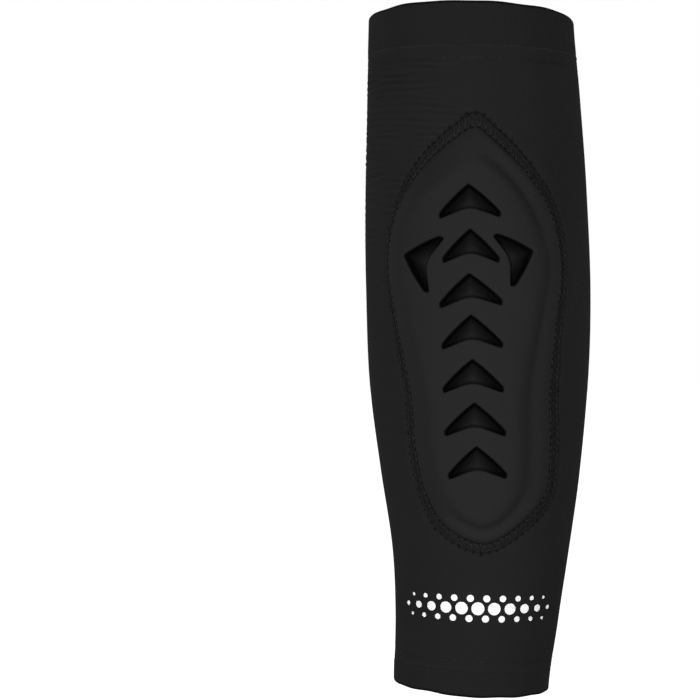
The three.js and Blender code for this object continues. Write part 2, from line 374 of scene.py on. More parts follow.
# Rings of the pad between its edge and the edge of its plateau, by inward share.
PAD_ROWS = [
    0, 0.012, 0.03, 0.055, 0.085, 0.12, 0.16, 0.2, 0.245, 0.285, 0.315, 0.34, 0.365, 0.39, 0.42, 0.46, 0.5,
    0.55, 0.6, 0.66, 0.72, 0.78, 0.83, 0.87, 0.9, 0.925, 0.95, 0.975]
PAD_GRID = 1.0
PAD_BACK_GRID = 4.0
GRID_CLEARANCE = 0.55
SPLINE_STEPS = 60
SAME_PLACE = 1e-7
TINY = 1e-12
# Places that are measured against a loop at one time.
BLOCK = 4000

# Lift of the pad's thickness and of its back above the sleeve's face.
PAD_BASE = 0.2
PAD_BACK = 0.02


def table_reader(places, values, slopes):
    """Cubic reading between the places of a table, from the values and the slopes at each."""

    def read(place):
        place = np.clip(np.asarray(place, float), places[0], places[-1])
        row = np.clip(np.searchsorted(places, place, side="right") - 1, 0, len(places) - 2)
        step = (places[row + 1] - places[row])[..., None]
        t = (place - places[row])[..., None] / step
        start = values[row] * (1 + 2 * t) * (1 - t) ** 2 + slopes[row] * step * t * (1 - t) ** 2
        end = values[row + 1] * t**2 * (3 - 2 * t) + slopes[row + 1] * step * t**2 * (t - 1)
        return start + end

    return read


def smooth_table(rows, key, columns):
    """Reading of several columns: level at the table's ends, else at the mean slope of both sides."""
    places = np.array([getattr(row, key) for row in rows], float)
    values = np.array([[getattr(row, column) for column in columns] for row in rows], float)
    secants = np.diff(values, axis=0) / np.diff(places)[:, None]
    slopes = np.zeros_like(values)
    slopes[1:-1] = (secants[1:] + secants[:-1]) / 2
    return table_reader(places, values, slopes)


def rising_table(rows, key, column):
    """Reading of one column that only rises, with no overshoot."""
    places = np.array([getattr(row, key) for row in rows], float)
    values = np.array([getattr(row, column) for row in rows], float)
    secants = np.diff(values) / np.diff(places)
    slopes = np.zeros_like(values)
    slopes[1:-1] = 2 * secants[1:] * secants[:-1] / np.maximum(secants[1:] + secants[:-1], 1e-9)
    slopes[0] = secants[0]
    slopes[-1] = secants[-1]
    read = table_reader(places, values[:, None], slopes[:, None])
    return lambda place: read(place)[..., 0]


section_at = smooth_table(SECTIONS, "height", Section._fields[1:])
stepped_tier_at = rising_table(PAD_TIERS, "inward", "stepped")
gentle_tier_at = rising_table(PAD_TIERS, "inward", "gentle")
plateau_at = rising_table(PLATEAU_RISES, "distance", "thickness")


def mean_radius(height):
    section = section_at(height)
    return (section[..., 2] + section[..., 3]) / 2


def face_points(angle, height, lift):
    """Points of the sleeve's face. Angle 0 is the front line and grows towards +X, and lift is outward."""
    centre_x, centre_y, half_width, half_depth, slope = np.moveaxis(section_at(height), -1, 0)
    out_x = np.sin(angle) / half_width
    out_y = -np.cos(angle) / half_depth
    size = np.hypot(out_x, out_y)
    x = half_width * np.sin(angle) + lift * out_x / size
    y = centre_y - half_depth * np.cos(angle) + lift * out_y / size
    return np.stack([centre_x + x, y, height + slope * x], axis=-1)


def across_points(places, lift):
    """The same points by their distance across and their height."""
    return face_points(places[..., 0] / mean_radius(places[..., 1]), places[..., 1], lift)


def face_outward(places):
    """Directions straight out of the face at those places."""
    step = across_points(places, 1.0) - across_points(places, 0.0)
    return step / np.linalg.norm(step, axis=-1, keepdims=True)


def closed_spline(points, steps):
    """Smooth closed curve through points, as steps points for each stretch between two of them."""
    points = np.asarray(points, float)
    share = np.linspace(0, 1, steps, endpoint=False)[:, None]
    found = []
    for index in range(len(points)):
        before, start, end, after = (points[(index + shift) % len(points)] for shift in (-1, 0, 1, 2))
        gap0, gap1, gap2 = (
            math.sqrt(np.linalg.norm(b - a)) for a, b in ((before, start), (start, end), (end, after)))
        leave = (start - before) / gap0 - (end - before) / (gap0 + gap1) + (end - start) / gap1
        arrive = (end - start) / gap1 - (after - start) / (gap1 + gap2) + (after - end) / gap2
        leave, arrive = leave * gap1, arrive * gap1
        found.append(
            start
            + leave * share
            + (3 * (end - start) - 2 * leave - arrive) * share**2
            + (2 * (start - end) + leave + arrive) * share**3)
    return np.concatenate(found)


def along_loop(loop):
    """Length along a closed loop at each of its points, and its whole length."""
    steps = np.linalg.norm(np.roll(loop, -1, axis=0) - loop, axis=1)
    return np.concatenate([[0], np.cumsum(steps)[:-1]]), steps.sum()


def even_loop(loop, count, *others):
    """The loop, and others read at the same places, at count points with equal steps along the loop."""
    lengths, whole = along_loop(loop)
    wanted = np.linspace(0, whole, count, endpoint=False)
    places = np.append(lengths, whole)

    def read(values):
        closed = np.concatenate([values, values[:1]])
        return np.stack([np.interp(wanted, places, column) for column in closed.T], axis=1)

    return [read(values) for values in (loop, *others)]


def pad_loops(count):
    """Edge of the pad and edge of its plateau, matched point by point, clockwise from the top."""
    down, up = PAD_EDGES, PAD_EDGES[-2:0:-1]
    edge = [(row.right, row.height) for row in down] + [(row.left, row.height) for row in up]
    plateau = [(row.plateau_right, row.plateau) for row in down]
    plateau += [(row.plateau_left, row.plateau) for row in up]
    return even_loop(closed_spline(edge, SPLINE_STEPS), count, closed_spline(plateau, SPLINE_STEPS))


def inside_loop(places, loop):
    """True for each place that lies inside the closed loop."""
    x, y = places[:, 0][:, None], places[:, 1][:, None]
    x0, y0 = loop[:, 0], loop[:, 1]
    x1, y1 = np.roll(x0, -1), np.roll(y0, -1)
    spans = (y0 > y) != (y1 > y)
    rise = np.where(y1 == y0, TINY, y1 - y0)
    crossings = spans & (x < x0 + (y - y0) * (x1 - x0) / rise)
    return crossings.sum(axis=1) % 2 == 1


def loop_distance(places, loop):
    """Distance from each place to the closed loop, and how far along the loop its nearest point is."""
    lengths, _ = along_loop(loop)
    step = np.roll(loop, -1, axis=0) - loop
    size = np.maximum((step**2).sum(axis=1), TINY)
    distance = np.empty(len(places))
    along = np.empty(len(places))
    for first in range(0, len(places), BLOCK):
        block = slice(first, first + BLOCK)
        offset = places[block][:, None, :] - loop[None, :, :]
        share = np.clip((offset * step).sum(axis=2) / size, 0, 1)
        gaps = np.linalg.norm(offset - share[..., None] * step, axis=2)
        nearest = gaps.argmin(axis=1)
        rows = np.arange(len(nearest))
        distance[block] = gaps[rows, nearest]
        along[block] = lengths[nearest] + share[rows, nearest] * np.sqrt(size[nearest])
    return distance, along


def wander(place, seed, waves):
    """Smooth wandering value between about -1 and 1 along a line, from seeded waves of those lengths."""
    draw = np.random.default_rng(seed)
    total = np.zeros_like(np.asarray(place, float))
    for wave in waves:
        total += np.sin(2 * math.pi * place / wave + draw.uniform(0, 2 * math.pi))
    return total / math.sqrt(len(waves))


def soft_step(value, low, high):
    """Nought up to low, one from high, and a smooth rise between them."""
    t = np.clip((value - low) / (high - low), 0, 1)
    return t * t * (3 - 2 * t)


def make_mesh(name, points, faces, corner_uv, marks):
    """Mesh from points in millimetres and arrays of faces, with a UV for each corner and marks by point."""
    mesh = bpy.data.meshes.new(name)
    corners = np.concatenate([block.ravel() for block in faces])
    sizes = np.concatenate([np.full(len(block), block.shape[1]) for block in faces])
    mesh.vertices.add(len(points))
    mesh.vertices.foreach_set("co", (points * MM).astype(np.float32).ravel())
    mesh.loops.add(len(corners))
    mesh.loops.foreach_set("vertex_index", corners.astype(np.int32))
    mesh.polygons.add(len(sizes))
    mesh.polygons.foreach_set("loop_start", (np.cumsum(sizes) - sizes).astype(np.int32))
    mesh.polygons.foreach_set("use_smooth", np.ones(len(sizes), bool))
    layer = mesh.uv_layers.new(name=CLOTH_UV)
    layer.data.foreach_set("uv", corner_uv.astype(np.float32).ravel())
    for mark, values in marks.items():
        attribute = mesh.attributes.new(mark, "FLOAT", "POINT")
        attribute.data.foreach_set("value", np.asarray(values, np.float32))
    mesh.update(calc_edges=True)
    if mesh.validate():
        raise RuntimeError(f"{name} has faces that don't hold together")
    return mesh


def make_piece(name, mesh, material, replaced=None):
    """Object for a finished mesh, riding on the sleeve's one body."""
    piece = bpy.data.objects.new(name, mesh)
    bpy.context.scene.collection.objects.link(piece)
    if not mesh.materials:
        mesh.materials.append(material)
    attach(piece, "root")
    if replaced:
        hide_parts(replaced)
    return piece


def swept_ring(name, heights, lifts, sizes, marks):
    """Closed ring of cloth from a profile that goes down its outside and up its inside.

    heights and lifts have a row for each point of the profile and a column for each step round.
    """
    rows, around = heights.shape
    angle = np.linspace(0, 2 * math.pi, around, endpoint=False)
    points = face_points(np.broadcast_to(angle, heights.shape), heights, lifts)
    row = np.arange(rows)[:, None]
    step = np.arange(around)[None, :]
    below, beside = (row + 1) % rows, (step + 1) % around
    quads = np.stack(np.broadcast_arrays(
        row * around + step, below * around + step, below * around + beside, row * around + beside), axis=-1)
    girth = 2 * math.pi * mean_radius(0.0)
    wales = round(girth / (sizes.wale / MM))
    travel = np.linalg.norm(np.roll(points, -1, axis=0) - points, axis=2).mean(axis=1)
    run = np.concatenate([[0], np.cumsum(travel)]) / (sizes.course / MM)
    u = np.stack(np.broadcast_arrays(step, step, step + 1, step + 1), axis=-1) * wales / around
    v = np.stack(np.broadcast_arrays(run[:-1, None], run[1:, None], run[1:, None], run[:-1, None]), axis=-1)
    uv = np.stack(np.broadcast_arrays(u, v), axis=-1)
    return make_mesh(name, points.reshape(-1, 3), [quads.reshape(-1, 4)], uv, marks)


def seam_heights():
    """Heights of the seams between the tube and its elbow and wrist bands."""
    return ELBOW_RIM - ELBOW_BAND, WRIST_RIM + WRIST_BAND


def ripple_waves(across, height):
    """The fine level ripples of the slack knit, as shares of their usual height."""
    draw = np.random.default_rng(RIPPLE_SEED)
    relief = np.zeros_like(across)
    for _ in range(RIPPLE_COUNT):
        ripple = Ripple(*(draw.uniform(low, high) for low, high in zip(RIPPLE_LOW, RIPPLE_HIGH)))
        aside = across - ripple.across
        run = height - ripple.height - ripple.lean * aside
        window = np.exp(-(aside / ripple.reach) ** 2 - (run / (RIPPLE_TALL * ripple.spacing)) ** 2)
        relief += ripple.strength * window * np.cos(2 * math.pi * run / ripple.spacing)
    return relief


def pad_seam_relief(across, height, tall):
    """Cloth drawn in along the stitched edge of the pad, with short puckers running out of it."""
    relief = np.zeros_like(across)
    edge, _ = pad_loops(PAD_SEAM_STEPS)
    lowest, highest = PAD_SEAM_HEIGHTS
    near = (np.abs(across) < PAD_SEAM_ACROSS) & (height > lowest) & (height < highest)
    places = np.stack([across[near], height[near]], axis=1)
    distance, along = loop_distance(places, edge)
    outside = ~inside_loop(places, edge)
    seam = PAD_SEAM
    drawn = -seam.drawn * np.exp(-((distance / seam.drawn_reach) ** 2))
    swell = seam.swell * np.exp(-((distance - seam.swell_at) / seam.swell_reach) ** 2)
    fade = np.exp(-distance / seam.ruffle_fade) * soft_step(distance, *seam.ruffle_rise)
    ruffle = seam.ruffle * wander(along, PUCKER_SEED, PUCKER_WAVES) * fade
    relief[near] = np.where(outside, tall * (drawn + swell + ruffle), -tall)
    return relief


def seam_edges(angle, height):
    """Share of the edge that the knit shows along the two seams, uneven on its way round."""
    top, bottom = seam_heights()
    wave = wander(angle, BAND_SEED + 3, [math.pi / part for part in (1, 2, 5, 9)])
    uneven = 1 - SEAM_EDGE_UNEVEN + SEAM_EDGE_UNEVEN * wave
    elbow = np.exp(-((height - top + SEAM_EDGE_AT) / SEAM_EDGE_REACH) ** 2)
    wrist = np.exp(-((height - bottom - SEAM_EDGE_AT) / SEAM_EDGE_REACH) ** 2)
    return uneven * (elbow + WRIST_EDGE * wrist)


def row_grooves(angle, height, sizes):
    """Share of the groove that the topstitch rows press into the knit, uneven on its way round."""
    top, bottom = seam_heights()
    wave = wander(angle, BAND_SEED + 5, [math.pi / part for part in (2, 3, 5, 9)])
    uneven = 1 - ROW_UNEVEN + ROW_UNEVEN * wave
    rows = (top - sizes.elbow_row / MM, bottom + sizes.wrist_row / MM)
    return sum(uneven * np.exp(-((height - row) / ROW_REACH) ** 2) for row in rows)


def back_seam_form(angle, height):
    """Shares of the flat ridge of the seam down the back, and of the hollow along both its sides."""
    aside = np.abs(angle - math.pi) * mean_radius(height)
    ridge = np.exp(-((aside / BACK_RIDGE_REACH) ** 4))
    hollow = np.exp(-(((aside - BACK_HOLLOW_AT) / BACK_HOLLOW_REACH) ** 2))
    return ridge, hollow


def face_across(angle, height):
    """Distance round the sleeve from the middle of its padded face, to the right."""
    return np.where(angle > math.pi, angle - 2 * math.pi, angle) * mean_radius(height)


def sleeve_relief(angle, height, sizes):
    """How far the knit stands out from its even face."""
    across = face_across(angle, height)
    relief = sizes.ripple / MM * ripple_waves(across, height)
    relief += pad_seam_relief(across, height, sizes.pucker / MM)
    waves = [np.sin(wave.turns * angle + height / wave.rise + wave.start) for wave in SLOW_WAVES]
    slow = waves[0] * waves[1]
    relief += sizes.slack / MM * slow * soft_step(np.abs(across), SLACK_FROM, SLACK_FULL)
    relief += sizes.seam_ridge / MM * seam_edges(angle, height)
    relief -= sizes.row_groove / MM * row_grooves(angle, height, sizes)
    ridge, hollow = back_seam_form(angle, height)
    relief += sizes.back_ridge / MM * (ridge - BACK_HOLLOW_DEPTH * hollow)
    for crease in SIDE_CREASES:
        along = (height - crease.height) / CREASE_TALL
        aside = (across - crease.across - CREASE_LEAN * along) / CREASE_WIDE
        relief -= crease.depth * np.exp(-(aside**2) - along**2)
    return relief


def sleeve_shade(angle, height, sizes):
    """Painted shade in the knit's hollows and grooves, and a painted highlight, below nought, along its
    seams.
    """
    hollows = RIPPLE_SHADE * -ripple_waves(face_across(angle, height), height)
    hollows += BACK_SHADE * back_seam_form(angle, height)[1]
    return hollows + ROW_SHADE * row_grooves(angle, height, sizes) - SEAM_LIGHT * seam_edges(angle, height)


def sleeve_mesh(sizes):
    """The tube of single knit, tucked into the seams of its two bands."""
    top, bottom = seam_heights()
    tuck, tuck_lift = np.array(TUBE_EDGE, float).T
    rippled = np.linspace(top - TUBE_FROM_SEAM, RIPPLE_BOTTOM, RIPPLE_ROWS, endpoint=False)
    plain = np.linspace(RIPPLE_BOTTOM, bottom + TUBE_FROM_SEAM, SLEEVE_ROWS)
    outer = np.concatenate([top - tuck, rippled, plain, bottom + tuck[::-1]])
    outer_lift = np.concatenate([tuck_lift, np.zeros(RIPPLE_ROWS + SLEEVE_ROWS), tuck_lift[::-1]])
    inner = np.linspace(bottom - SEAM_OVERLAP, top + SEAM_OVERLAP, SLEEVE_INNER_ROWS)
    lift = np.concatenate([outer_lift, np.full(len(inner), -sizes.cloth / MM)])
    angle = np.linspace(0, 2 * math.pi, SLEEVE_AROUND, endpoint=False)
    angles, heights = np.meshgrid(angle, np.concatenate([outer, inner]))
    relief = sleeve_relief(angles.ravel(), heights.ravel(), sizes).reshape(heights.shape)
    # The fold mark carries the knit's painted shade and its painted seam highlight.
    marks = {"fold": sleeve_shade(angles.ravel(), heights.ravel(), sizes)}
    return swept_ring("sleeve_cloth", heights, lift[:, None] + relief, sizes, marks)


def band_mesh(name, rim, tall, bow, seed, sizes):
    """A band of knit folded double, swelling out of its seam and turning over in a round fold at its rim."""
    up = math.copysign(1, rim)
    folded = sizes.folded_cloth / MM
    radius = folded / 2
    proud = sizes.band_proud / MM
    from_seam, swell = np.array(BAND_EDGE, float).T
    lift_out = np.where(swell < 0, swell, swell * proud)
    body = np.linspace(BAND_FROM_SEAM, tall - radius - OUTER_FOLD_GAP, BAND_ROWS)
    turn = np.linspace(0, math.pi, BAND_FOLD_ROWS)
    inner = np.linspace(tall - radius - INNER_FOLD_GAP, -SEAM_OVERLAP, BAND_INNER_ROWS)
    rise = np.concatenate([from_seam, body, tall - radius + radius * np.sin(turn), inner])
    turn_lift = proud - radius + radius * np.cos(turn)
    inner_lift = np.full(BAND_INNER_ROWS, proud - folded)
    lift = np.concatenate([lift_out, np.full(BAND_ROWS, proud), turn_lift, inner_lift])
    # Painted shade over the top of the round fold, carried by the fold mark.
    dark = soft_step(turn, *FOLD_DARKENS) * (1 - soft_step(turn, *FOLD_LIGHTENS))
    fold = np.concatenate([np.zeros(len(from_seam) + BAND_ROWS), dark, np.zeros(BAND_INNER_ROWS)])
    if up > 0:
        rise, lift, fold = rise[::-1], lift[::-1], fold[::-1]
    angle = np.linspace(0, 2 * math.pi, SLEEVE_AROUND, endpoint=False)
    angles, rises = np.meshgrid(angle, rise)
    free = soft_step(rises, FREE_FROM, tall)
    girth = angles / (2 * math.pi) * BAND_GIRTH
    wave = wander(girth, seed, [BAND_GIRTH / part for part in BAND_WAVES])
    dimple = wander(girth, seed + 1, [BAND_GIRTH / part for part in BAND_DIMPLES])
    dimpled = (1 - free) * (rises > DIMPLES_FROM)
    uneven = BAND_WAVE_SHARE * wave * free + BAND_DIMPLE_SHARE * dimple * dimpled
    heights = rim - up * tall + up * (rises + (bow * np.cos(2 * angles) + RIM_WAVE * wave) * free)
    marks = {"fold": np.repeat(fold, SLEEVE_AROUND)}
    return swept_ring(name, heights, lift[:, None] + sizes.slack / MM * uneven, sizes, marks)


def arrow_sizes(arrow, pad):
    """Half the span of a recess, the drop of its tips, the drop of its notch and the height of its tips."""
    span = pad.arrow_span / MM * arrow.reach / 2
    drop = pad.arrow_drop / MM * arrow.drop
    return span, drop, pad.arrow_notch / MM * arrow.drop * arrow.notch, pad.arrow_tip / MM


def recess_form(arrow, places, pad):
    """Depth and painted shade of a recess as shares: most under its point and arms, least towards its notch.
    """
    span, drop, notch, tip = arrow_sizes(arrow, pad)
    radius = mean_radius(places[:, 1])
    flat = places * np.stack([(radius + PAD_CROWN) / radius, np.ones(len(places))], axis=1)
    turn = math.radians(arrow.turn)
    back = np.array([[math.cos(turn), -math.sin(turn)], [math.sin(turn), math.cos(turn)]])
    local = (flat - (arrow.across, arrow.height)) @ back
    side = np.abs(local[:, 0])
    from_arm = np.maximum(-(local[:, 1] * span + side * drop) / math.hypot(span, drop), 0)
    fall = (drop + tip - notch) / span
    from_notch = np.maximum((local[:, 1] + notch + fall * side) / math.hypot(1, fall), 0)
    towards_notch = from_arm / np.maximum(from_arm + from_notch, 1e-6)
    middle = 1 - np.clip(side / span, 0, 1) ** 3
    depth = 1 - FLOOR_RISE * soft_step(towards_notch, FLOOR_RISE_FROM, 1.0) * middle
    # Where the painted shade on the floor lifts, towards the notch.
    light = np.clip((from_arm - FLOOR_LIGHT_FROM) / FLOOR_LIGHT_REACH, 0, 1)
    return depth, 1 - FLOOR_LIGHT * light * middle


def arrow_loop(arrow, inset, pad):
    """Closed outline of one recess, inset from its drawn line, as distances across the face and heights."""
    span, tip_drop, notch, tip = arrow_sizes(arrow, pad)
    low_span, low_tip = span - ARROW_TIP_SLANT, -tip_drop - tip
    corners = np.array([
        (0, 0), (span, -tip_drop), (low_span, low_tip),
        (0, -notch), (-low_span, low_tip), (-span, -tip_drop)])
    shares = np.array(ARROW_EDGE_SHARES) if inset > 0 else np.ones(len(corners))
    ways = np.roll(corners, -1, axis=0) - corners
    ways /= np.linalg.norm(ways, axis=1, keepdims=True)
    inward = np.stack([ways[:, 1], -ways[:, 0]], axis=1)
    starts = corners + inward * (inset * shares)[:, None]
    moved = []
    for index in range(len(corners)):
        way, before = ways[index], ways[index - 1]
        gap = starts[index] - starts[index - 1]
        share = (gap[0] * way[1] - gap[1] * way[0]) / (before[0] * way[1] - before[1] * way[0])
        moved.append(starts[index - 1] + before * share)
    moved = np.array(moved)
    lengths = np.linalg.norm(np.roll(moved, -1, axis=0) - moved, axis=1)
    line = []
    for index, (corner_cut, edge_steps, bow) in enumerate(ARROW_CORNERS):
        after = (index + 1) % len(moved)
        cut_in = min(corner_cut, CORNER_LIMIT * lengths[index], CORNER_LIMIT * lengths[index - 1])
        cut_out = min(ARROW_CORNERS[after].cut, CORNER_LIMIT * lengths[index], CORNER_LIMIT * lengths[after])
        for share in np.linspace(0, 1, CORNER_STEPS):
            start = moved[index] - ways[index - 1] * cut_in
            end = moved[index] + ways[index] * cut_in
            line.append(start * (1 - share) ** 2 + moved[index] * 2 * share * (1 - share) + end * share**2)
        start = moved[index] + ways[index] * cut_in
        end = moved[after] - ways[index] * cut_out
        for share in np.linspace(0, 1, edge_steps + 2)[1:-1]:
            line.append(start + (end - start) * share - inward[index] * bow * 4 * share * (1 - share))
    turn = math.radians(arrow.turn)
    spun = np.array(line) @ np.array([[math.cos(turn), math.sin(turn)], [-math.sin(turn), math.cos(turn)]])
    places = spun + (arrow.across, arrow.height)
    radius = mean_radius(places[:, 1])
    places[:, 0] *= radius / (radius + PAD_CROWN)
    return places


def hexagon_grid(loop, spacing):
    """Places inside a loop on an even grid of triangles."""
    low, high = loop.min(axis=0), loop.max(axis=0)
    found = []
    for index, height in enumerate(np.arange(low[1], high[1], spacing * math.sqrt(3) / 2)):
        across = np.arange(low[0], high[0], spacing) + (spacing / 2 if index % 2 else 0)
        found.append(np.stack([across, np.full(len(across), height)], axis=1))
    grid = np.concatenate(found)
    return grid[inside_loop(grid, loop)]


def fill_loop(boundary, lines, spacing):
    """Triangles that fill a boundary and keep lines as edges. Gives all places, boundary and lines first."""
    fixed = [boundary, *lines]
    grid = hexagon_grid(boundary, spacing)
    gaps = np.min([loop_distance(grid, loop)[0] for loop in fixed], axis=0)
    grid = grid[gaps > GRID_CLEARANCE * spacing]
    edges = []
    first = 0
    for loop in fixed:
        edges += [(first + step, first + (step + 1) % len(loop)) for step in range(len(loop))]
        first += len(loop)
    places = np.concatenate([*fixed, grid])
    corners = [Vector(place) for place in places]
    found, _, faces, origins, _, _ = delaunay_2d_cdt(corners, edges, [], 1, SAME_PLACE)
    if len(found) != len(places):
        raise RuntimeError("lines of the pad cross each other")
    own = [origin[0] for origin in origins]
    return places, np.array([[own[corner] for corner in face] for face in faces])


def stitch_wave():
    """Places round the pad's edge counted in stitches, and a wave that is one at each and nought between."""
    along = np.arange(PAD_STITCHES * PAD_STEPS_PER_STITCH) / PAD_STEPS_PER_STITCH
    return along, 0.5 + 0.5 * np.cos(2 * math.pi * along)


def ring_lifts(inwards, plateau, pad, thread):
    """Lift of the pad's rings, pinched by each stitch and dimpled by the needle."""
    along, wave = stitch_wave()
    low_end = LOW_END_SHIFT * soft_step(-plateau[:, 1], *LOW_END)
    stepped = soft_step(plateau[:, 0] + low_end, GENTLE_UNTIL, STEPPED_FROM)
    thick = np.outer(stepped_tier_at(inwards), stepped) + np.outer(gentle_tier_at(inwards), 1 - stepped)
    pinch = pad.pinch / MM * soft_step(inwards, *PINCH_RISES) * (1 - soft_step(inwards, *PINCH_FALLS))
    thick -= np.outer(pinch, wave)
    holes = NEEDLE_LEAST + (1 - NEEDLE_LEAST) * (1 - wave) ** 2
    for row in (thread.middle_row, thread.zigzag_in):
        thick -= np.outer(pad.needle / MM * np.exp(-((inwards - row) / NEEDLE_REACH) ** 2), holes)
    lumps = wander(along, PUCKER_SEED + 4, [PAD_STITCHES / part for part in LUMP_WAVES])
    thick += np.outer(LUMP_SHARE * pinch * soft_step(inwards, *LUMPS_RISE), lumps)
    return PAD_BASE * soft_step(inwards, 0, SEATED_BY)[:, None] + thick


def border_shades(inwards, thread):
    """Painted shade over the pad's sewn border and painted shadow in its needle holes, ring by ring."""
    _, wave = stitch_wave()
    # Painted shade over the outer part of the sewn border, fading inward.
    painted_border = BORDER_PAINTED_SHADE * (1 - soft_step(inwards, *BORDER_SHADE_FALLS))
    # Painted shadow in the needle holes along the zigzag's inner and outer ends.
    inner = np.outer(np.exp(-((inwards - thread.zigzag_in) / HOLE_REACH) ** 2), (1 - wave) ** 2)
    outer = np.outer(1 - soft_step(inwards, *OUTER_HOLE_FALLS), wave**2)
    return painted_border[:, None] + HOLE_SHADE * np.maximum(inner, outer)


def recessed_plateau(plateau, pad):
    """Places, triangles, lift and painted shade of the plateau with its recesses, its own edge first."""
    lines, depths, shades = [], [np.zeros(len(plateau))], [np.zeros(len(plateau))]
    for arrow in ARROWS:
        for step in RECESS_WALL:
            lines.append(arrow_loop(arrow, step.inset, pad))
            deep, dark = recess_form(arrow, lines[-1], pad)
            depths.append(step.depth * deep)
            # Painted shade comes in down the wall.
            shades.append(soft_step(step.depth, 0, WALL_DARK_BY) * dark)
    places, faces = fill_loop(plateau, lines, PAD_GRID)
    grid = places[len(plateau) + sum(len(line) for line in lines):]
    grid_depth, grid_shade = np.zeros(len(grid)), np.zeros(len(grid))
    for arrow, floor in zip(ARROWS, lines[len(RECESS_WALL) - 1::len(RECESS_WALL)]):
        inside = inside_loop(grid, floor)
        grid_depth[inside], grid_shade[inside] = recess_form(arrow, grid[inside], pad)
    depth = np.concatenate([*depths, grid_depth])
    lift = PAD_BASE + plateau_at(loop_distance(places, plateau)[0]) - pad.arrow_depth / MM * depth
    return places, faces, lift, np.concatenate([*shades, grid_shade])


def pad_mesh(pad, thread):
    """The moulded foam pad: stitched flange, rounded lower tier, riser and plateau with arrow recesses."""
    around = PAD_STITCHES * PAD_STEPS_PER_STITCH
    edge, plateau = pad_loops(around)
    inwards = np.array(PAD_ROWS)
    rings = (edge + (plateau - edge) * inwards[:, None, None]).reshape(-1, 2)
    top_places, top_faces, top_lift, top_shade = recessed_plateau(plateau, pad)
    back_places, back_faces = fill_loop(edge, [], PAD_BACK_GRID)
    places = np.concatenate([rings, top_places, back_places])
    ring_lift = ring_lifts(inwards, plateau, pad, thread).ravel()
    lift = np.concatenate([ring_lift, top_lift, np.full(len(back_places), PAD_BACK)])
    top_first = len(rings)
    back_first = top_first + len(top_places)
    row = np.arange(len(inwards))[:, None] * around
    step = np.arange(around)
    beside = (step + 1) % around
    quads = np.stack([row + step, row + around + step, row + around + beside, row + beside], axis=-1)
    skirt = np.stack([back_first + step, step, beside, back_first + beside], axis=-1)
    faces = [quads.reshape(-1, 4), skirt, top_first + top_faces, back_first + back_faces[:, ::-1]]
    corners = np.concatenate([block.ravel() for block in faces])
    border = border_shades(inwards, thread).ravel()
    marks = {
        # Painted shade down in the recesses, and over the sewn border and in its needle holes.
        "recess": np.concatenate([np.zeros(top_first), top_shade, np.zeros(len(back_places))]),
        "border": np.concatenate([border, np.zeros(len(places) - top_first)]),
    }
    uv = places[corners] / (pad.weave / MM)
    return make_mesh("forearm_pad_foam", across_points(places, lift), faces, uv, marks)


def add_node(tree, kind, sockets=None, **settings):
    """Node with its settings, whose inputs are set or linked by name or place."""
    node = tree.nodes.new(kind)
    for name, value in settings.items():
        setattr(node, name, value)
    for key, value in (sockets or {}).items():
        if isinstance(value, bpy.types.NodeSocket):
            tree.links.new(value, node.inputs[key])
        else:
            node.inputs[key].default_value = value
    return node


def maths(tree, operation, first, second=0.0, third=0.0):
    """Output of a Math node."""
    node = add_node(tree, "ShaderNodeMath", {0: first, 1: second, 2: third}, operation=operation)
    return node.outputs[0]


def vectors(tree, operation, sockets):
    """Outputs of a Vector Math node."""
    return add_node(tree, "ShaderNodeVectorMath", sockets, operation=operation).outputs


def point_mark(tree, name, kind):
    """Output of a Geometry Nodes reader of the points' mark of that name."""
    return add_node(tree, "GeometryNodeInputNamedAttribute", {"Name": name}, data_type=kind).outputs[0]


def new_group(name, kind, inputs, outputs):
    """Empty node group with named sockets. An input is its name, its kind and its starting value."""
    group = bpy.data.node_groups.new(name, kind)
    for label, socket_kind, value in inputs:
        socket = group.interface.new_socket(label, in_out="INPUT", socket_type=socket_kind)
        if value is not None:
            socket.default_value = value
    for label, socket_kind in outputs:
        group.interface.new_socket(label, in_out="OUTPUT", socket_type=socket_kind)
    return group, group.nodes.new("NodeGroupInput").outputs, group.nodes.new("NodeGroupOutput")


def knit_group():
    """Rows of knitted loops on a UV that counts wales and courses."""
    tree, given, result = new_group(
        "Knit Loops", "ShaderNodeTree",
        [("UV", "NodeSocketVector", None), ("Unevenness", "NodeSocketFloat", 0.3)],
        [("Height", "NodeSocketFloat"), ("Valley", "NodeSocketFloat")])
    noise = add_node(tree, "ShaderNodeTexNoise", {"Vector": given["UV"], "Scale": LOOP_WANDER, "Detail": 2.0})
    shift = maths(tree, "MULTIPLY", maths(tree, "SUBTRACT", noise.outputs["Fac"], 0.5), given["Unevenness"])
    place = add_node(tree, "ShaderNodeSeparateXYZ", {0: given["UV"]})
    across = maths(tree, "ADD", place.outputs["X"], shift)
    wale = maths(tree, "MULTIPLY", maths(tree, "PINGPONG", across, 0.5), 2.0)
    slanted = maths(tree, "MULTIPLY_ADD", wale, LOOP_SLANT, maths(tree, "ADD", place.outputs["Y"], shift))
    loop = maths(tree, "SINE", maths(tree, "MULTIPLY", slanted, 2 * math.pi))
    height = maths(tree, "MULTIPLY_ADD", loop, LOOP_HEIGHT, maths(tree, "MULTIPLY", wale, WALE_HEIGHT))
    tree.links.new(height, result.inputs["Height"])
    # Valley is painted shade where the loops dip.
    valley = add_node(tree, "ShaderNodeMapRange", {
        "Value": height, "From Min": VALLEY_STARTS, "From Max": VALLEY_DEEPEST})
    tree.links.new(valley.outputs["Result"], result.inputs["Valley"])
    return tree


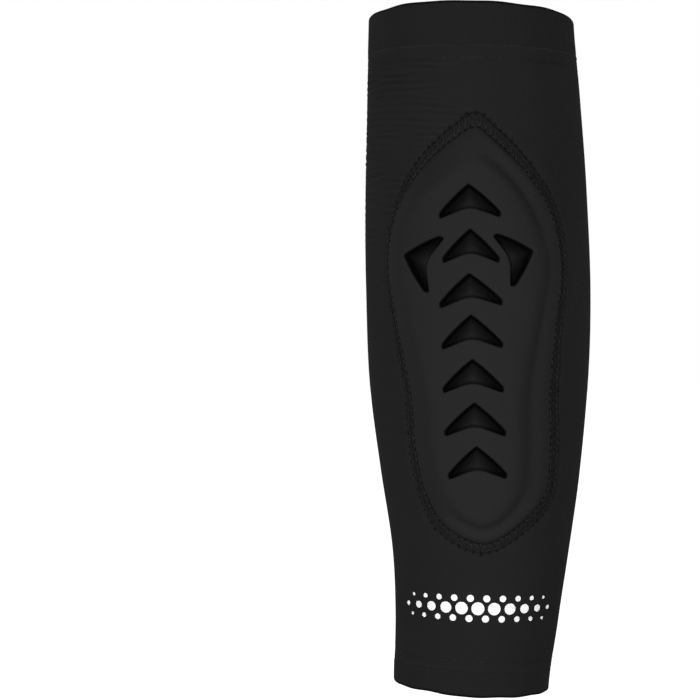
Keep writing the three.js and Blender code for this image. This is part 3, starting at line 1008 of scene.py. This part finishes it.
def fade_group():
    """Cloth colour that drifts a little over the piece, with the roughness that goes with it."""
    tree, given, result = new_group(
        "Cloth Fade", "ShaderNodeTree",
        [("Colour", "NodeSocketColor", (0.01, 0.01, 0.01, 1)), ("Drift", "NodeSocketFloat", 0.15),
         ("Lint", "NodeSocketFloat", 0.1), ("Valley", "NodeSocketFloat", 0.0),
         ("Roughness", "NodeSocketFloat", 0.85)],
        [("Colour", "NodeSocketColor"), ("Roughness", "NodeSocketFloat")])
    where = add_node(tree, "ShaderNodeTexCoord").outputs["Object"]
    broad = add_node(tree, "ShaderNodeTexNoise", {"Vector": where, "Scale": DRIFT_SCALE, "Detail": 3.0})
    fine = add_node(tree, "ShaderNodeTexNoise", {"Vector": where, "Scale": LINT_SCALE, "Detail": 2.0})
    drift = maths(tree, "MULTIPLY", maths(tree, "SUBTRACT", broad.outputs["Fac"], 0.5), given["Drift"])
    lint = maths(tree, "MULTIPLY", maths(tree, "SUBTRACT", fine.outputs["Fac"], 0.5), given["Lint"])
    level = maths(tree, "ADD", maths(tree, "ADD", drift, lint), 1.0)
    # Valley darkens the colour: on cloth it is painted shade, on the print its worn cracks.
    level = maths(tree, "SUBTRACT", level, given["Valley"])
    colour = vectors(tree, "SCALE", {0: given["Colour"], "Scale": level})[0]
    tree.links.new(colour, result.inputs["Colour"])
    rough = maths(tree, "MULTIPLY_ADD", lint, LINT_ROUGHNESS, given["Roughness"])
    tree.links.new(rough, result.inputs["Roughness"])
    return tree


def shared_group(name, build):
    """The node group of that name, built the first time it is asked for."""
    return bpy.data.node_groups.get(name) or build()


def place_group(tree, name, build, sockets):
    """Node that holds a shared group."""
    return add_node(tree, "ShaderNodeGroup", sockets, node_tree=shared_group(name, build))


def new_material(name):
    """Material with an empty Principled shader, which is given back with its node tree."""
    material = bpy.data.materials.new(name)
    material.use_nodes = True
    shader = next(node for node in material.node_tree.nodes if node.type == "BSDF_PRINCIPLED")
    return material, material.node_tree, shader


def linear(colour):
    """Colour with the alpha that sockets ask for."""
    return (*colour, 1.0)


def mesh_mark(tree, name):
    """The mesh's own mark of that name, as a number."""
    return add_node(tree, "ShaderNodeAttribute", attribute_name=name).outputs["Fac"]


def cloth_loops(tree, unevenness):
    """Outputs of the knitted loops, laid on the mesh's own UV."""
    uv = add_node(tree, "ShaderNodeUVMap", uv_map=CLOTH_UV).outputs["UV"]
    return place_group(tree, "Knit Loops", knit_group, {"UV": uv, "Unevenness": unevenness}).outputs


def finish_surface(tree, shader, colour, finish, height, valley, gloss):
    """Gives a shader a drifting colour and roughness, the relief of a height and its gloss."""
    fade = place_group(tree, "Cloth Fade", fade_group, {
        "Colour": linear(colour), "Drift": finish.drift, "Lint": finish.lint, "Valley": valley,
        "Roughness": finish.roughness}).outputs
    relief = add_node(tree, "ShaderNodeBump", {
        "Height": height, "Strength": finish.bump, "Distance": finish.deep * MM}).outputs["Normal"]
    tree.links.new(fade["Colour"], shader.inputs["Base Color"])
    tree.links.new(fade["Roughness"], shader.inputs["Roughness"])
    tree.links.new(relief, shader.inputs["Normal"])
    shader.inputs["Specular IOR Level"].default_value = gloss


def knit_material(name, tone, looks):
    """Black stretch knit, matt, with its wales and courses in relief, painted shade in its hollows and folds
    and a painted highlight along its seams.
    """
    material, tree, shader = new_material(name)
    loops = cloth_loops(tree, KNIT_UNEVENNESS)
    # The fold mark is painted shade, and below nought a painted highlight.
    fold = maths(tree, "MULTIPLY", mesh_mark(tree, "fold"), FOLD_SHADE)
    valley = maths(tree, "MULTIPLY_ADD", loops["Valley"], KNIT_FINISH.valley, fold)
    colour = [part * tone for part in looks.knit]
    finish_surface(tree, shader, colour, KNIT_FINISH, loops["Height"], valley, looks.knit_gloss)
    return material


def foam_material(looks):
    """Smooth matt skin over foam, with painted shade down in the recesses, over its sewn border and in its
    needle holes.
    """
    material, tree, shader = new_material("foam_skin")
    loops = cloth_loops(tree, SKIN_UNEVENNESS)
    border = mesh_mark(tree, "border")
    # Painted shade from the recess and border marks.
    hollow = maths(tree, "MULTIPLY_ADD", mesh_mark(tree, "recess"), looks.recess_shade, border)
    valley = maths(tree, "MULTIPLY_ADD", loops["Valley"], FOAM_FINISH.valley, hollow)
    finish_surface(tree, shader, looks.foam, FOAM_FINISH, loops["Height"], valley, looks.foam_gloss)
    return material


def thread_material(looks):
    """Black sewing thread with a slight lustre, uneven along its length. All stitches share it."""
    if "thread" in bpy.data.materials:
        return bpy.data.materials["thread"]
    material, tree, shader = new_material("thread")
    where = add_node(tree, "ShaderNodeTexCoord").outputs["Object"]
    fibres = add_node(tree, "ShaderNodeTexNoise", {"Vector": where, "Scale": FIBRE_SCALE, "Detail": 2.0})
    finish_surface(
        tree, shader, looks.thread, THREAD_FINISH, fibres.outputs["Fac"], THREAD_FINISH.valley, THREAD_GLOSS)
    return material


def print_material(looks):
    """White print on the knit, a little cracked."""
    material, tree, shader = new_material("white_print")
    where = add_node(tree, "ShaderNodeTexCoord").outputs["Object"]
    cracks = add_node(
        tree, "ShaderNodeTexVoronoi", {"Vector": where, "Scale": CRACK_SCALE},
        feature="DISTANCE_TO_EDGE").outputs["Distance"]
    worn = add_node(tree, "ShaderNodeMapRange", {
        "Value": cracks, "From Min": 0.0, "From Max": CRACK_WIDTH, "To Min": PRINT_FINISH.valley,
        "To Max": 0.0}).outputs["Result"]
    finish_surface(tree, shader, looks.dots, PRINT_FINISH, cracks, worn, PRINT_GLOSS)
    return material


def stitch_tree():
    """One bowed thread on each point, laid along its stroke vector with its bow facing out."""
    tree, given, result = new_group(
        "Stitches", "GeometryNodeTree",
        [("Geometry", "NodeSocketGeometry", None), ("Stitch Length", "NodeSocketFloat", 0.004),
         ("Bow", "NodeSocketFloat", 0.001), ("Bow Place", "NodeSocketFloat", 0.0),
         ("Thread", "NodeSocketFloat", 0.0004), ("Unevenness", "NodeSocketFloat", 0.15),
         ("Seed", "NodeSocketInt", THREAD_SEED), ("Material", "NodeSocketMaterial", None)],
        [("Geometry", "NodeSocketGeometry")])
    length = given["Stitch Length"]
    start = add_node(tree, "ShaderNodeCombineXYZ", {"X": maths(tree, "MULTIPLY", length, -0.5)})
    middle = add_node(tree, "ShaderNodeCombineXYZ", {
        "X": maths(tree, "MULTIPLY", length, given["Bow Place"]), "Z": given["Bow"]})
    end = add_node(tree, "ShaderNodeCombineXYZ", {"X": maths(tree, "MULTIPLY", length, 0.5)})
    line = add_node(tree, "GeometryNodeCurveQuadraticBezier", {
        "Resolution": 7, "Start": start.outputs[0], "Middle": middle.outputs[0], "End": end.outputs[0]})
    section = add_node(tree, "GeometryNodeCurvePrimitiveCircle", {
        "Resolution": 6, "Radius": maths(tree, "MULTIPLY", given["Thread"], 0.5)})
    thread = add_node(tree, "GeometryNodeCurveToMesh", {
        "Curve": line.outputs[0], "Profile Curve": section.outputs[0], "Fill Caps": True})
    stroke = point_mark(tree, "stroke", "FLOAT_VECTOR")
    outward = point_mark(tree, "out", "FLOAT_VECTOR")
    turned = add_node(
        tree, "FunctionNodeAxesToRotation", {"Primary Axis": stroke, "Secondary Axis": outward},
        primary_axis="X", secondary_axis="Z")
    reach = vectors(tree, "LENGTH", {0: stroke})["Value"]
    low = maths(tree, "SUBTRACT", 1.0, given["Unevenness"])
    high = maths(tree, "ADD", 1.0, given["Unevenness"])
    chance = add_node(tree, "FunctionNodeRandomValue", {
        2: low, 3: high, "Seed": given["Seed"]}, data_type="FLOAT").outputs[1]
    scale = add_node(tree, "ShaderNodeCombineXYZ", {
        "X": maths(tree, "DIVIDE", reach, length), "Y": chance, "Z": chance})
    laid = add_node(tree, "GeometryNodeInstanceOnPoints", {
        "Points": given["Geometry"], "Instance": thread.outputs[0], "Rotation": turned.outputs[0],
        "Scale": scale.outputs[0]})
    real = add_node(tree, "GeometryNodeRealizeInstances", {"Geometry": laid.outputs[0]})
    smooth = add_node(tree, "GeometryNodeSetShadeSmooth", {"Geometry": real.outputs[0]})
    finished = add_node(tree, "GeometryNodeSetMaterial", {
        "Geometry": smooth.outputs[0], "Material": given["Material"]})
    tree.links.new(finished.outputs[0], result.inputs["Geometry"])
    return tree


def dot_tree():
    """A thin round dot on each point, as wide as its size says, wrapped on to the face of the sleeve."""
    tree, given, result = new_group(
        "Printed Dots", "GeometryNodeTree",
        [("Geometry", "NodeSocketGeometry", None), ("Sleeve", "NodeSocketObject", None),
         ("Thickness", "NodeSocketFloat", 0.0001), ("Material", "NodeSocketMaterial", None)],
        [("Geometry", "NodeSocketGeometry")])
    disc = add_node(tree, "GeometryNodeMeshCylinder", {
        "Vertices": 32, "Side Segments": 1, "Fill Segments": 5, "Radius": 1.0,
        "Depth": maths(tree, "MULTIPLY", given["Thickness"], 2.0)}, fill_type="TRIANGLE_FAN")
    size = point_mark(tree, "size", "FLOAT")
    outward = point_mark(tree, "out", "FLOAT_VECTOR")
    centre = point_mark(tree, "centre", "FLOAT_VECTOR")
    turned = add_node(
        tree, "FunctionNodeAxesToRotation", {"Primary Axis": outward, "Secondary Axis": (0.0, 0.0, 1.0)},
        primary_axis="Z", secondary_axis="Y")
    scale = add_node(tree, "ShaderNodeCombineXYZ", {"X": size, "Y": size, "Z": 1.0})
    laid = add_node(tree, "GeometryNodeInstanceOnPoints", {
        "Points": given["Geometry"], "Instance": disc.outputs["Mesh"], "Rotation": turned.outputs[0],
        "Scale": scale.outputs[0]})
    real = add_node(tree, "GeometryNodeRealizeInstances", {"Geometry": laid.outputs[0]})
    where = add_node(tree, "GeometryNodeInputPosition").outputs[0]
    offset = vectors(tree, "SUBTRACT", {0: where, 1: centre})[0]
    level = vectors(tree, "DOT_PRODUCT", {0: offset, 1: outward})["Value"]
    above = vectors(tree, "SCALE", {0: outward, "Scale": RAY_FROM * MM})[0]
    target = add_node(tree, "GeometryNodeObjectInfo", {"Object": given["Sleeve"]})
    source = vectors(tree, "ADD", {0: where, 1: above})[0]
    inward = vectors(tree, "SCALE", {0: outward, "Scale": -1.0})[0]
    ray = add_node(tree, "GeometryNodeRaycast", {
        "Target Geometry": target.outputs["Geometry"], "Source Position": source, "Ray Direction": inward,
        "Ray Length": RAY_REACH * MM})
    height = vectors(tree, "SCALE", {0: outward, "Scale": level})[0]
    landed = vectors(tree, "ADD", {0: ray.outputs["Hit Position"], 1: height})[0]
    wrapped = add_node(tree, "GeometryNodeSetPosition", {
        "Geometry": real.outputs[0], "Selection": ray.outputs["Is Hit"], "Position": landed})
    finished = add_node(tree, "GeometryNodeSetMaterial", {
        "Geometry": wrapped.outputs[0], "Material": given["Material"]})
    tree.links.new(finished.outputs[0], result.inputs["Geometry"])
    return tree


def grown_mesh(name, points, vectors, numbers, tree, values):
    """Plain mesh of what a Geometry Nodes tree makes on points, whose marks are vectors and numbers."""
    seeds = bpy.data.meshes.new(name + "_points")
    seeds.from_pydata((points * MM).tolist(), [], [])
    for mark, directions in vectors.items():
        attribute = seeds.attributes.new(mark, "FLOAT_VECTOR", "POINT")
        attribute.data.foreach_set("vector", np.asarray(directions, np.float32).ravel())
    for mark, amounts in numbers.items():
        attribute = seeds.attributes.new(mark, "FLOAT", "POINT")
        attribute.data.foreach_set("value", np.asarray(amounts, np.float32))
    carrier = bpy.data.objects.new(name + "_points", seeds)
    bpy.context.scene.collection.objects.link(carrier)
    modifier = carrier.modifiers.new(tree.name, "NODES")
    modifier.node_group = tree
    sockets = {item.name: item.identifier for item in tree.interface.items_tree if item.in_out == "INPUT"}
    for label, value in values.items():
        modifier[sockets[label]] = value
    grown = carrier.evaluated_get(bpy.context.evaluated_depsgraph_get())
    mesh = bpy.data.meshes.new_from_object(grown)
    mesh.name = name
    if not mesh.polygons:
        raise RuntimeError(f"{name} has no faces")
    carrier.modifiers.remove(modifier)
    bpy.data.objects.remove(carrier)
    bpy.data.meshes.remove(seeds)
    return mesh


def sew(name, starts, ends, outward, sewing, thread, looks):
    """Piece of stitches of one kind, each laid from its start to its end and bowed outward."""
    strokes = (ends - starts) * MM
    material = thread_material(looks)
    values = {
        "Stitch Length": float(np.linalg.norm(strokes, axis=1).mean()),
        "Bow": sewing.bow * MM,
        "Bow Place": sewing.bow_place,
        "Thread": thread,
        "Unevenness": sewing.unevenness,
        "Seed": sewing.seed,
        "Material": material,
    }
    marks = {"stroke": strokes, "out": outward}
    tree = shared_group("Stitches", stitch_tree)
    make_piece(name, grown_mesh(name, (starts + ends) / 2, marks, {}, tree, values), material)


def length_property(name, description, millimetres):
    """Length that can't go below nought."""
    return FloatProperty(
        name=name, description=description, default=millimetres * MM, unit="LENGTH", precision=5, min=0.0)


def colour_property(name, description, level):
    """Grey colour of one level."""
    return FloatVectorProperty(
        name=name, description=description, default=(level, level, level), subtype="COLOR", size=3,
        min=0.0, max=1.0)


def share_property(name, description, share):
    """Share from nought to one."""
    return FloatProperty(
        name=name, description=description, default=share, subtype="FACTOR", min=0.0, max=1.0)


def power_property(name, description, watts):
    """Power of a light."""
    return FloatProperty(name=name, description=description, default=watts, unit="POWER", min=0.0)


class SleeveClothSizes(bpy.types.PropertyGroup):
    """Sizes of the knit tube and its two folded bands."""

    cloth: length_property("Cloth", "Thickness of the single knit", 1.2)
    folded_cloth: length_property("Folded Cloth", "Thickness of a band, which is knit folded double", 2.5)
    band_proud: length_property("Band Proud", "How far a band stands out from the tube", 0.06)
    seam_ridge: length_property("Seam Ridge", "Height of the tube's edge along a band's seam", 0.2)
    row_groove: length_property("Row Groove", "Depth that the topstitching draws the knit in", 0.16)
    back_ridge: length_property("Back Ridge", "Height of the flat seam down the back", 0.3)
    elbow_row: length_property("Elbow Row", "Distance of the topstitching from the elbow band's seam", 5.2)
    wrist_row: length_property("Wrist Row", "Distance of the topstitching from the wrist band's seam", 3.6)
    wale: length_property("Wale", "Width of one column of loops", 0.9)
    course: length_property("Course", "Height of one row of loops", 0.75)
    ripple: length_property("Ripple", "Height of the fine ripples above the pad", 0.2)
    pucker: length_property("Pucker", "Depth that the pad's stitching draws the knit in", 0.24)
    slack: length_property("Slack", "Height of the knit's slow waves", 0.14)


class SleevePadSizes(bpy.types.PropertyGroup):
    """Sizes of the foam pad and of the arrow recesses in it."""

    arrow_span: length_property("Arrow Span", "Width of a recess from tip to tip, on the crown", 21.4)
    arrow_drop: length_property("Arrow Drop", "How far its tips lie below its point", 10.2)
    arrow_notch: length_property("Arrow Notch", "How far its notch lies below its point", 8.2)
    arrow_tip: length_property("Arrow Tip", "Height of its blunt tips", 1.9)
    arrow_depth: length_property("Arrow Depth", "Depth of a recess", 4.2)
    pinch: length_property("Pinch", "Depth that each stitch crushes the flange", 0.25)
    needle: length_property("Needle Hole", "Depth of the dimples where the needle went through", 0.55)
    weave: length_property("Weave", "Width of the loops of the pad's skin", 0.6)


class SleeveThreadSizes(bpy.types.PropertyGroup):
    """Sizes of the stitching and of the printed dots."""

    thread: length_property("Thread", "Thickness of the zigzag thread", 0.42)
    zigzag_out: length_property("Zigzag Out", "How far outside the pad's edge the zigzag reaches", 0.7)
    zigzag_in: share_property("Zigzag In", "How far towards the plateau it reaches, as a share", 0.29)
    middle_row: share_property("Middle Row", "Place of the row of stitches within it, as a share", 0.1)
    topstitch: length_property("Topstitch", "Length of one stitch beside a band", 2.6)
    topstitch_gap: length_property("Topstitch Gap", "Gap between two of them", 0.7)
    topstitch_thread: length_property("Topstitch Thread", "Thickness of their thread", 0.3)
    seam_step: length_property("Seam Step", "Rise of one stitch of the seam down the back", 1.3)
    seam_reach: length_property("Seam Reach", "How far that seam's stitches reach to either side", 1.6)
    dot_count: IntProperty(name="Dots", description="Number of dots in the middle row", default=11, min=3)
    dot_pitch: length_property("Dot Pitch", "Distance from dot to dot", 5.4)
    dot_row: length_property("Dot Row", "Distance from row to row", 3.7)
    dot_largest: length_property("Largest Dot", "Width of the middle dot", 4.7)
    dot_smallest: length_property("Smallest Dot", "Width of the dots at the ends", 1.6)
    dot_height: FloatProperty(
        name="Dot Height", description="Height of the middle row of dots on the sleeve", default=-93.5 * MM,
        unit="LENGTH")


class SleeveLooks(bpy.types.PropertyGroup):
    """Colours and gloss."""

    knit: colour_property("Knit", "Colour of the knit", 0.0097)
    foam: colour_property("Foam Skin", "Colour of the pad's skin", 0.0127)
    thread: colour_property("Thread", "Colour of the thread", 0.0052)
    dots: colour_property("Print", "Colour of the printed dots", 0.78)
    floor: colour_property("Floor", "Colour of the floor", 0.93)
    knit_gloss: share_property("Knit Gloss", "Strength of the knit's highlights", 0.1)
    foam_gloss: share_property("Foam Gloss", "Strength of the highlights on the pad's skin", 0.05)
    # Strength of the painted shade down in a recess.
    recess_shade: share_property("Recess Shade", "How much darker the skin is down in a recess", 0.97)


class SleeveStage(bpy.types.PropertyGroup):
    """Camera, light and floor."""

    distance: length_property("Distance", "Distance of the camera from the forearm's axis", 700)
    aside: FloatProperty(
        name="Aside", description="How far the camera looks past the sleeve", default=math.radians(3.865),
        subtype="ANGLE")
    lens: FloatProperty(name="Lens", description="Focal length in millimetres", default=95.6, min=1.0)
    floor_drop: length_property("Floor Drop", "How far below the sleeve's middle the floor lies", 450)
    sky: FloatProperty(name="Sky", description="Strength of the light from all round", default=0.12, min=0.0)
    rim: FloatProperty(name="Rim", description="Strength of what the surfaces mirror", default=0.25, min=0.0)
    key: power_property("Key", "Power of the front light", 20.2)
    fill: power_property("Fill", "Power of the light behind", 12.0)
    edge: power_property("Edge", "Power of each light behind its sides", 22.0)


class SLEEVE_OT_cloth(bpy.types.Operator):
    """Make the tapered tube of single knit"""

    bl_idname = "sleeve.cloth"
    bl_label = "Knit Tube"

    def execute(self, context):
        scene = context.scene
        material = knit_material("knit", 1.0, scene.sleeve_looks)
        make_piece("sleeve_cloth", sleeve_mesh(scene.sleeve_cloth), material, "sleeve_tube")
        return {"FINISHED"}


class SLEEVE_OT_bands(bpy.types.Operator):
    """Make the folded band at each end"""

    bl_idname = "sleeve.bands"
    bl_label = "Folded Bands"

    def execute(self, context):
        scene = context.scene
        material = knit_material("folded_knit", FOLDED_TONE, scene.sleeve_looks)
        for node, rim, tall, bow, seed in (
                ("elbow_band", ELBOW_RIM, ELBOW_BAND, ELBOW_BOW, BAND_SEED),
                ("wrist_band", WRIST_RIM, WRIST_BAND, WRIST_BOW, BAND_SEED + 7)):
            mesh = band_mesh(node + "_cloth", rim, tall, bow, seed, scene.sleeve_cloth)
            make_piece(node + "_cloth", mesh, material, node)
        return {"FINISHED"}


class SLEEVE_OT_pad(bpy.types.Operator):
    """Make the moulded foam pad with its arrow recesses"""

    bl_idname = "sleeve.pad"
    bl_label = "Foam Pad"

    def execute(self, context):
        scene = context.scene
        mesh = pad_mesh(scene.sleeve_pad, scene.sleeve_thread)
        material = foam_material(scene.sleeve_looks)
        pad = make_piece("forearm_pad_foam", mesh, material, "forearm_pad")
        return {"FINISHED"}


class SLEEVE_OT_border(bpy.types.Operator):
    """Sew the pad down with a zigzag round its edge"""

    bl_idname = "sleeve.border"
    bl_label = "Zigzag Border"

    def execute(self, context):
        scene = context.scene
        sizes = scene.sleeve_thread
        edge, plateau = pad_loops(2 * PAD_STITCHES)
        way = np.roll(edge, -1, axis=0) - np.roll(edge, 1, axis=0)
        way /= np.linalg.norm(way, axis=1, keepdims=True)
        aside = np.stack([-way[:, 1], way[:, 0]], axis=1)
        outer = edge + aside * sizes.zigzag_out / MM
        inner = edge + (plateau - edge) * sizes.zigzag_in
        sunk = ZIGZAG_IN_FOAM * scene.sleeve_pad.needle / MM
        on_pad = float(PAD_BASE + stepped_tier_at(sizes.zigzag_in) - sunk)
        draw = np.random.default_rng(ZIGZAG.seed)
        outer += draw.normal(0, ZIGZAG_SCATTER, outer.shape)
        inner += draw.normal(0, ZIGZAG_SCATTER, inner.shape)
        outer_points = across_points(outer, np.full(len(outer), -ZIGZAG_IN_KNIT))
        inner_points = across_points(inner, np.full(len(inner), on_pad))
        index = np.arange(2 * PAD_STITCHES)
        after = (index + 1) % len(index)
        starts = outer_points[np.where(index % 2 == 0, index, after)]
        ends = inner_points[np.where(index % 2 == 0, after, index)]
        outward = face_outward((outer + inner) / 2)
        sew("pad_border_stitches", starts, ends, outward, ZIGZAG, sizes.thread, scene.sleeve_looks)
        self.sew_rows(scene, sizes)
        return {"FINISHED"}

    def sew_rows(self, scene, sizes):
        """Two rows of running stitches, one inside the zigzag and one along its inner holes."""
        edge, plateau = pad_loops(PAD_STITCHES * PAD_STEPS_PER_STITCH)
        middles = np.arange(PAD_STITCHES) * PAD_STEPS_PER_STITCH
        reach = PAD_STEPS_PER_STITCH // 2 - 1
        draw = np.random.default_rng(NEEDLE_ROWS.seed)
        sunk = ROWS_IN_FOAM * scene.sleeve_pad.needle / MM
        starts, ends, outward = [], [], []
        for row in (sizes.middle_row, sizes.zigzag_in):
            line = edge + (plateau - edge) * row
            line += draw.normal(0, ROW_SCATTER, line.shape)
            lift = float(PAD_BASE + stepped_tier_at(row) - sunk)
            points = across_points(line, np.full(len(line), lift))
            starts.append(points[(middles - reach) % len(line)])
            ends.append(points[(middles + reach) % len(line)])
            outward.append(face_outward(line[middles]))
        starts, ends, outward = (np.concatenate(rows) for rows in (starts, ends, outward))
        sew("pad_needle_rows", starts, ends, outward, NEEDLE_ROWS, sizes.thread, scene.sleeve_looks)


class SLEEVE_OT_topstitch(bpy.types.Operator):
    """Sew a row of topstitching beside each band"""

    bl_idname = "sleeve.topstitch"
    bl_label = "Topstitching"

    def execute(self, context):
        scene = context.scene
        sizes, cloth = scene.sleeve_thread, scene.sleeve_cloth
        top, bottom = seam_heights()
        pitch = (sizes.topstitch + sizes.topstitch_gap) / MM
        for name, height in (
                ("elbow_topstitch", top - cloth.elbow_row / MM),
                ("wrist_topstitch", bottom + cloth.wrist_row / MM)):
            count = round(2 * math.pi * float(mean_radius(height)) / pitch)
            angle = np.arange(count) * 2 * math.pi / count
            heights = np.full(count, height)
            half = math.pi / count * sizes.topstitch / MM / pitch
            lift = sleeve_relief(angle, heights, cloth) - TOPSTITCH_IN_KNIT
            starts = face_points(angle - half, heights, lift)
            ends = face_points(angle + half, heights, lift)
            outward = face_points(angle, heights, lift + 1) - face_points(angle, heights, lift)
            sew(name, starts, ends, outward, TOPSTITCH, sizes.topstitch_thread, scene.sleeve_looks)
        return {"FINISHED"}


class SLEEVE_OT_back_seam(bpy.types.Operator):
    """Close the tube with a flat zigzag seam down its back"""

    bl_idname = "sleeve.back_seam"
    bl_label = "Back Seam"

    def execute(self, context):
        scene = context.scene
        sizes, cloth = scene.sleeve_thread, scene.sleeve_cloth
        top, bottom = seam_heights()
        count = round((top - bottom - 2 * BACK_SEAM_END) / (sizes.seam_step / MM))
        heights = np.linspace(bottom + BACK_SEAM_END, top - BACK_SEAM_END, count + 1)
        side = np.where(np.arange(count + 1) % 2 == 0, 1, -1)
        angle = math.pi + side * sizes.seam_reach / MM / mean_radius(heights)
        lift = sleeve_relief(angle, heights, cloth) - BACK_SEAM_IN_KNIT
        points = face_points(angle, heights, lift)
        middle = (heights[:-1] + heights[1:]) / 2
        outward = face_points(math.pi, middle, 1.0) - face_points(math.pi, middle, 0.0)
        sew(
            "back_seam_stitches", points[:-1], points[1:], outward, BACK_SEAM, sizes.topstitch_thread,
            scene.sleeve_looks)
        return {"FINISHED"}


class SLEEVE_OT_dots(bpy.types.Operator):
    """Print a plain band of white dots near the wrist, in three rows"""

    bl_idname = "sleeve.dots"
    bl_label = "Printed Dots"

    def execute(self, context):
        scene = context.scene
        sizes = scene.sleeve_thread
        half = (sizes.dot_count - 1) / 2
        places, widths = [], []
        for row in (-1, 0, 1):
            count = sizes.dot_count - abs(row)
            place = (np.arange(count) - (count - 1) / 2) / half
            height = np.full(count, (sizes.dot_height + row * sizes.dot_row) / MM)
            places.append(np.stack([place * half * sizes.dot_pitch / MM, height], axis=1))
            swell = (sizes.dot_largest - sizes.dot_smallest) * np.cos(place * math.pi / 2)
            widths.append((sizes.dot_smallest + swell) * (1 - OUTER_DOTS_LESS * abs(row)))
        places, widths = np.concatenate(places), np.concatenate(widths)
        points = across_points(places, np.zeros(len(places)))
        mesh = grown_mesh(
            "wrist_dots", points, {"out": face_outward(places), "centre": points * MM}, {"size": widths / 2},
            shared_group("Printed Dots", dot_tree),
            {"Sleeve": bpy.data.objects["sleeve_cloth"], "Thickness": DOT_THICK * MM,
             "Material": print_material(scene.sleeve_looks)})
        make_piece("wrist_dots", mesh, None)
        return {"FINISHED"}


class SLEEVE_OT_stage(bpy.types.Operator):
    """Set up the floor, the light and the camera"""

    bl_idname = "sleeve.stage"
    bl_label = "Stage"

    def execute(self, context):
        scene = context.scene
        stage = scene.sleeve_stage
        scene.view_settings.view_transform = "Standard"
        scene.view_settings.look = "None"
        world = bpy.data.worlds.new("studio")
        world.use_nodes = True
        background = next(node for node in world.node_tree.nodes if node.type == "BACKGROUND")
        background.inputs["Color"].default_value = (1, 1, 1, 1)
        path = add_node(world.node_tree, "ShaderNodeLightPath")
        glossy = maths(
            world.node_tree, "MULTIPLY_ADD", path.outputs["Is Camera Ray"], 1.0 - stage.rim, stage.rim)
        bright = maths(
            world.node_tree, "MULTIPLY_ADD", path.outputs["Is Diffuse Ray"], stage.sky - stage.rim, glossy)
        world.node_tree.links.new(bright, background.inputs["Strength"])
        scene.world = world
        self.add_floor(scene, stage)
        self.add_light(scene, "key", stage.key, KEY_PLACE)
        self.add_light(scene, "fill", stage.fill, FILL_PLACE)
        across, back, up = EDGE_PLACE
        for name, place in (("left_edge", (-across, back, up)), ("right_edge", EDGE_PLACE)):
            lamp = self.add_light(scene, name, stage.edge, place)
            lamp.visible_glossy = False
        self.add_camera(scene, stage)
        return {"FINISHED"}

    def add_floor(self, scene, stage):
        """Pale level floor, seen by the camera but not mirrored in the sleeve."""
        wide = FLOOR_HALF
        drop = -stage.floor_drop
        mesh = bpy.data.meshes.new("floor")
        corners = [(-wide, -wide, drop), (wide, -wide, drop), (wide, wide, drop), (-wide, wide, drop)]
        mesh.from_pydata(corners, [], [(0, 1, 2, 3)])
        material, tree, shader = new_material("pale_floor")
        fade = place_group(tree, "Cloth Fade", fade_group, {
            "Colour": linear(scene.sleeve_looks.floor), "Drift": FLOOR_DRIFT, "Lint": FLOOR_DRIFT,
            "Valley": 0.0}).outputs
        tree.links.new(fade["Colour"], shader.inputs["Base Color"])
        tree.links.new(fade["Colour"], shader.inputs["Emission Color"])
        shader.inputs["Emission Strength"].default_value = FLOOR_GLOW
        mesh.materials.append(material)
        floor = bpy.data.objects.new("floor", mesh)
        floor.visible_diffuse = False
        floor.visible_glossy = False
        scene.collection.objects.link(floor)

    def add_light(self, scene, name, power, place):
        """Square light at a place, turned to the sleeve's middle."""
        light = bpy.data.lights.new(name, "AREA")
        light.energy = power
        light.size = LIGHT_WIDE
        lamp = bpy.data.objects.new(name, light)
        lamp.location = place
        lamp.rotation_euler = (-Vector(place)).to_track_quat("-Z", "Y").to_euler()
        scene.collection.objects.link(lamp)
        return lamp

    def add_camera(self, scene, stage):
        """Level camera in front of the pad, turned a little past the sleeve."""
        data = bpy.data.cameras.new("camera")
        data.sensor_width = SENSOR_WIDE
        data.lens = stage.lens
        camera = bpy.data.objects.new("camera", data)
        camera.location = (0.0, -stage.distance, 0.0)
        camera.rotation_euler = (math.pi / 2, 0.0, stage.aside)
        scene.collection.objects.link(camera)
        scene.camera = camera


class SLEEVE_PT_panel(bpy.types.Panel):
    """Sizes, colours and making of the padded forearm sleeve"""

    bl_idname = "SLEEVE_PT_panel"
    bl_label = "Padded Forearm Sleeve"
    bl_space_type = "VIEW_3D"
    bl_region_type = "UI"
    bl_category = "Sleeve"

    def draw(self, context):
        for operator in OPERATORS:
            self.layout.operator(operator.bl_idname)
        for name, group in SETTINGS.items():
            box = self.layout.box()
            for field in group.__annotations__:
                box.prop(getattr(context.scene, name), field)


SETTINGS = {
    "sleeve_cloth": SleeveClothSizes,
    "sleeve_pad": SleevePadSizes,
    "sleeve_thread": SleeveThreadSizes,
    "sleeve_looks": SleeveLooks,
    "sleeve_stage": SleeveStage,
}
OPERATORS = [
    SLEEVE_OT_stage,
    SLEEVE_OT_cloth,
    SLEEVE_OT_bands,
    SLEEVE_OT_pad,
    SLEEVE_OT_border,
    SLEEVE_OT_topstitch,
    SLEEVE_OT_back_seam,
    SLEEVE_OT_dots,
]


def register():
    for made in (*SETTINGS.values(), *OPERATORS, SLEEVE_PT_panel):
        bpy.utils.register_class(made)
    for name, group in SETTINGS.items():
        setattr(bpy.types.Scene, name, PointerProperty(type=group))


def unregister():
    for name in SETTINGS:
        delattr(bpy.types.Scene, name)
    for made in (SLEEVE_PT_panel, *reversed(OPERATORS), *reversed(SETTINGS.values())):
        bpy.utils.unregister_class(made)


def main():
    register()
    for operator in OPERATORS:
        group, name = operator.bl_idname.split(".")
        getattr(getattr(bpy.ops, group), name)()


if __name__ == "__main__":
    main()
